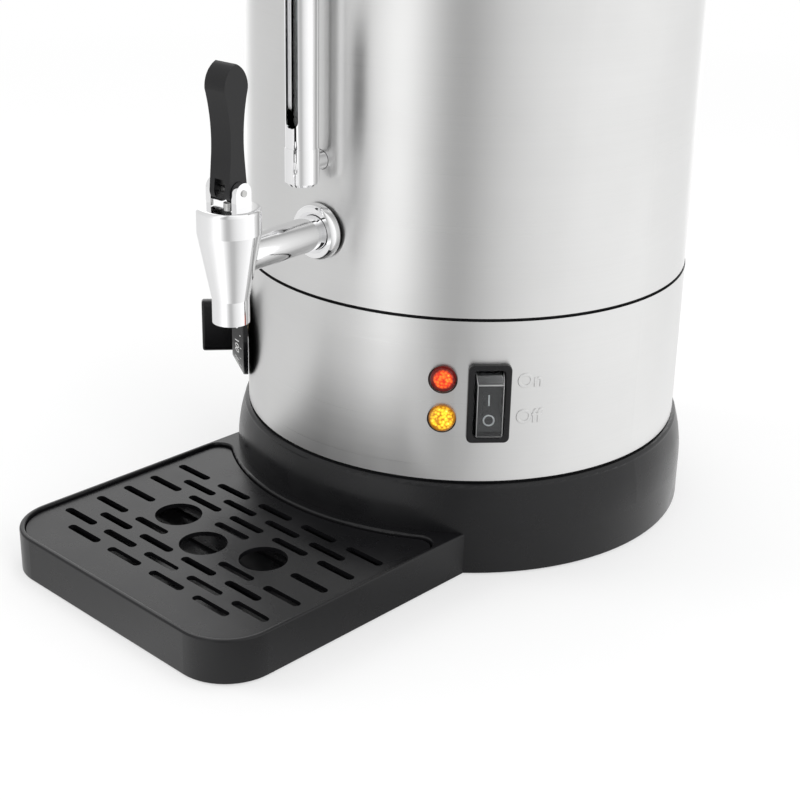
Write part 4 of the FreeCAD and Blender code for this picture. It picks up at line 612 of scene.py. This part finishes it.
# The floor's white glow in the camera's view grows from the first level at the first distance
# from the urn's axis to the second at the second, so that its far edge isn't seen.
FLOOR_GLOW = (0.55, 1.0)
FLOOR_GLOW_REACH = (0.45, 1.5)
FLOOR_MIRROR = 0.9


def add_softbox(name, spot, aim, size, power):
    data = bpy.data.lights.new(name, "AREA")
    data.shape = "RECTANGLE"
    data.size, data.size_y = size
    data.energy = power
    lamp = bpy.data.objects.new(name, data)
    lamp.visible_glossy = False
    lamp.location = spot
    lamp.rotation_euler = (Vector(aim) - Vector(spot)).to_track_quat("-Z", "Y").to_euler()
    bpy.context.scene.collection.objects.link(lamp)


def room_level(nodes, vector):
    """How bright the room is in the direction of a vector from the urn, by its azimuth alone."""
    x, y, _ = nodes.parts(vector)
    turn = nodes.math("ARCTAN2", x, nodes.math("MULTIPLY", y, -1))
    share = nodes.between(turn, 0.0, 1.0, -math.pi, math.pi)
    stops = [((degrees + 180) / 360, [level / ROOM_BRIGHTEST] * 3)
             for degrees, level in ROOM_LEVELS]
    scaled = nodes.node("ShaderNodeVectorMath", nodes.ramp(share, stops), operation="SCALE")
    scaled.inputs["Scale"].default_value = ROOM_BRIGHTEST
    return scaled.outputs[0]


def add_world():
    """A pale room: white where it is seen, with softly changing sides in metal and gloss."""
    world = bpy.data.worlds.new("studio")
    bpy.context.scene.world = world
    world.use_nodes = True
    world.node_tree.nodes.clear()
    nodes = Nodes(world.node_tree)
    place = nodes.node("ShaderNodeTexCoord").outputs
    path = nodes.node("ShaderNodeLightPath").outputs
    light = nodes.mix(path["Is Glossy Ray"], ROOM_FILL, room_level(nodes, place["Generated"]))
    seen = nodes.math("MAXIMUM", path["Is Camera Ray"], path["Is Transmission Ray"])
    ground = nodes.node("ShaderNodeBackground", nodes.mix(seen, light, WHITE))
    nodes.node("ShaderNodeOutputWorld", ground.outputs[0])


def add_floor():
    """A wide pale table top that keeps the urn's shadow and carries the room into reflections."""
    surface = bpy.data.materials.new("table_top")
    surface.use_nodes = True
    surface.node_tree.nodes.clear()
    nodes = Nodes(surface.node_tree)
    place = nodes.node("ShaderNodeTexCoord").outputs
    path = nodes.node("ShaderNodeLightPath").outputs
    offset = nodes.vector("SUBTRACT", place["Object"], (0, AXIS_Y, 0))
    fade = nodes.between(nodes.length(offset), *FLOOR_GLOW, *FLOOR_GLOW_REACH)
    matt = nodes.node("ShaderNodeBsdfDiffuse", FLOOR_PAINT)
    glow = nodes.node("ShaderNodeEmission", WHITE)
    seen = nodes.node("ShaderNodeMixShader", nodes.math("MULTIPLY", path["Is Camera Ray"], fade),
                      matt.outputs[0], glow.outputs[0])
    mirrored = nodes.node("ShaderNodeEmission", room_level(nodes, offset))
    share = nodes.math("MULTIPLY", path["Is Glossy Ray"], FLOOR_MIRROR)
    mixed = nodes.node("ShaderNodeMixShader", share, seen.outputs[0], mirrored.outputs[0])
    nodes.node("ShaderNodeOutputMaterial", mixed.outputs[0])
    mesh = bpy.data.meshes.new("table_top")
    mesh.from_pydata([(-FLOOR_HALF, -FLOOR_HALF, 0), (FLOOR_HALF, -FLOOR_HALF, 0),
                      (FLOOR_HALF, FLOOR_HALF, 0), (-FLOOR_HALF, FLOOR_HALF, 0)],
                     [], [(0, 1, 2, 3)])
    mesh.materials.append(surface)
    floor = bpy.data.objects.new("table_top", mesh)
    bpy.context.scene.collection.objects.link(floor)


add_camera()
add_world()
add_floor()
add_softbox("softbox_left", (-1.5, -1.2, 1.3), (0, 0, 0.2), (1.0, 1.4), 18)
add_softbox("softbox_right", (1.7, -0.4, 1.1), (0, 0, 0.2), (0.9, 1.2), 12)
add_softbox("softbox_top", (0.1, 0.5, 1.9), (0, 0.05, 0.2), (1.4, 1.0), 14)
bpy.context.scene.view_settings.view_transform = "Standard"
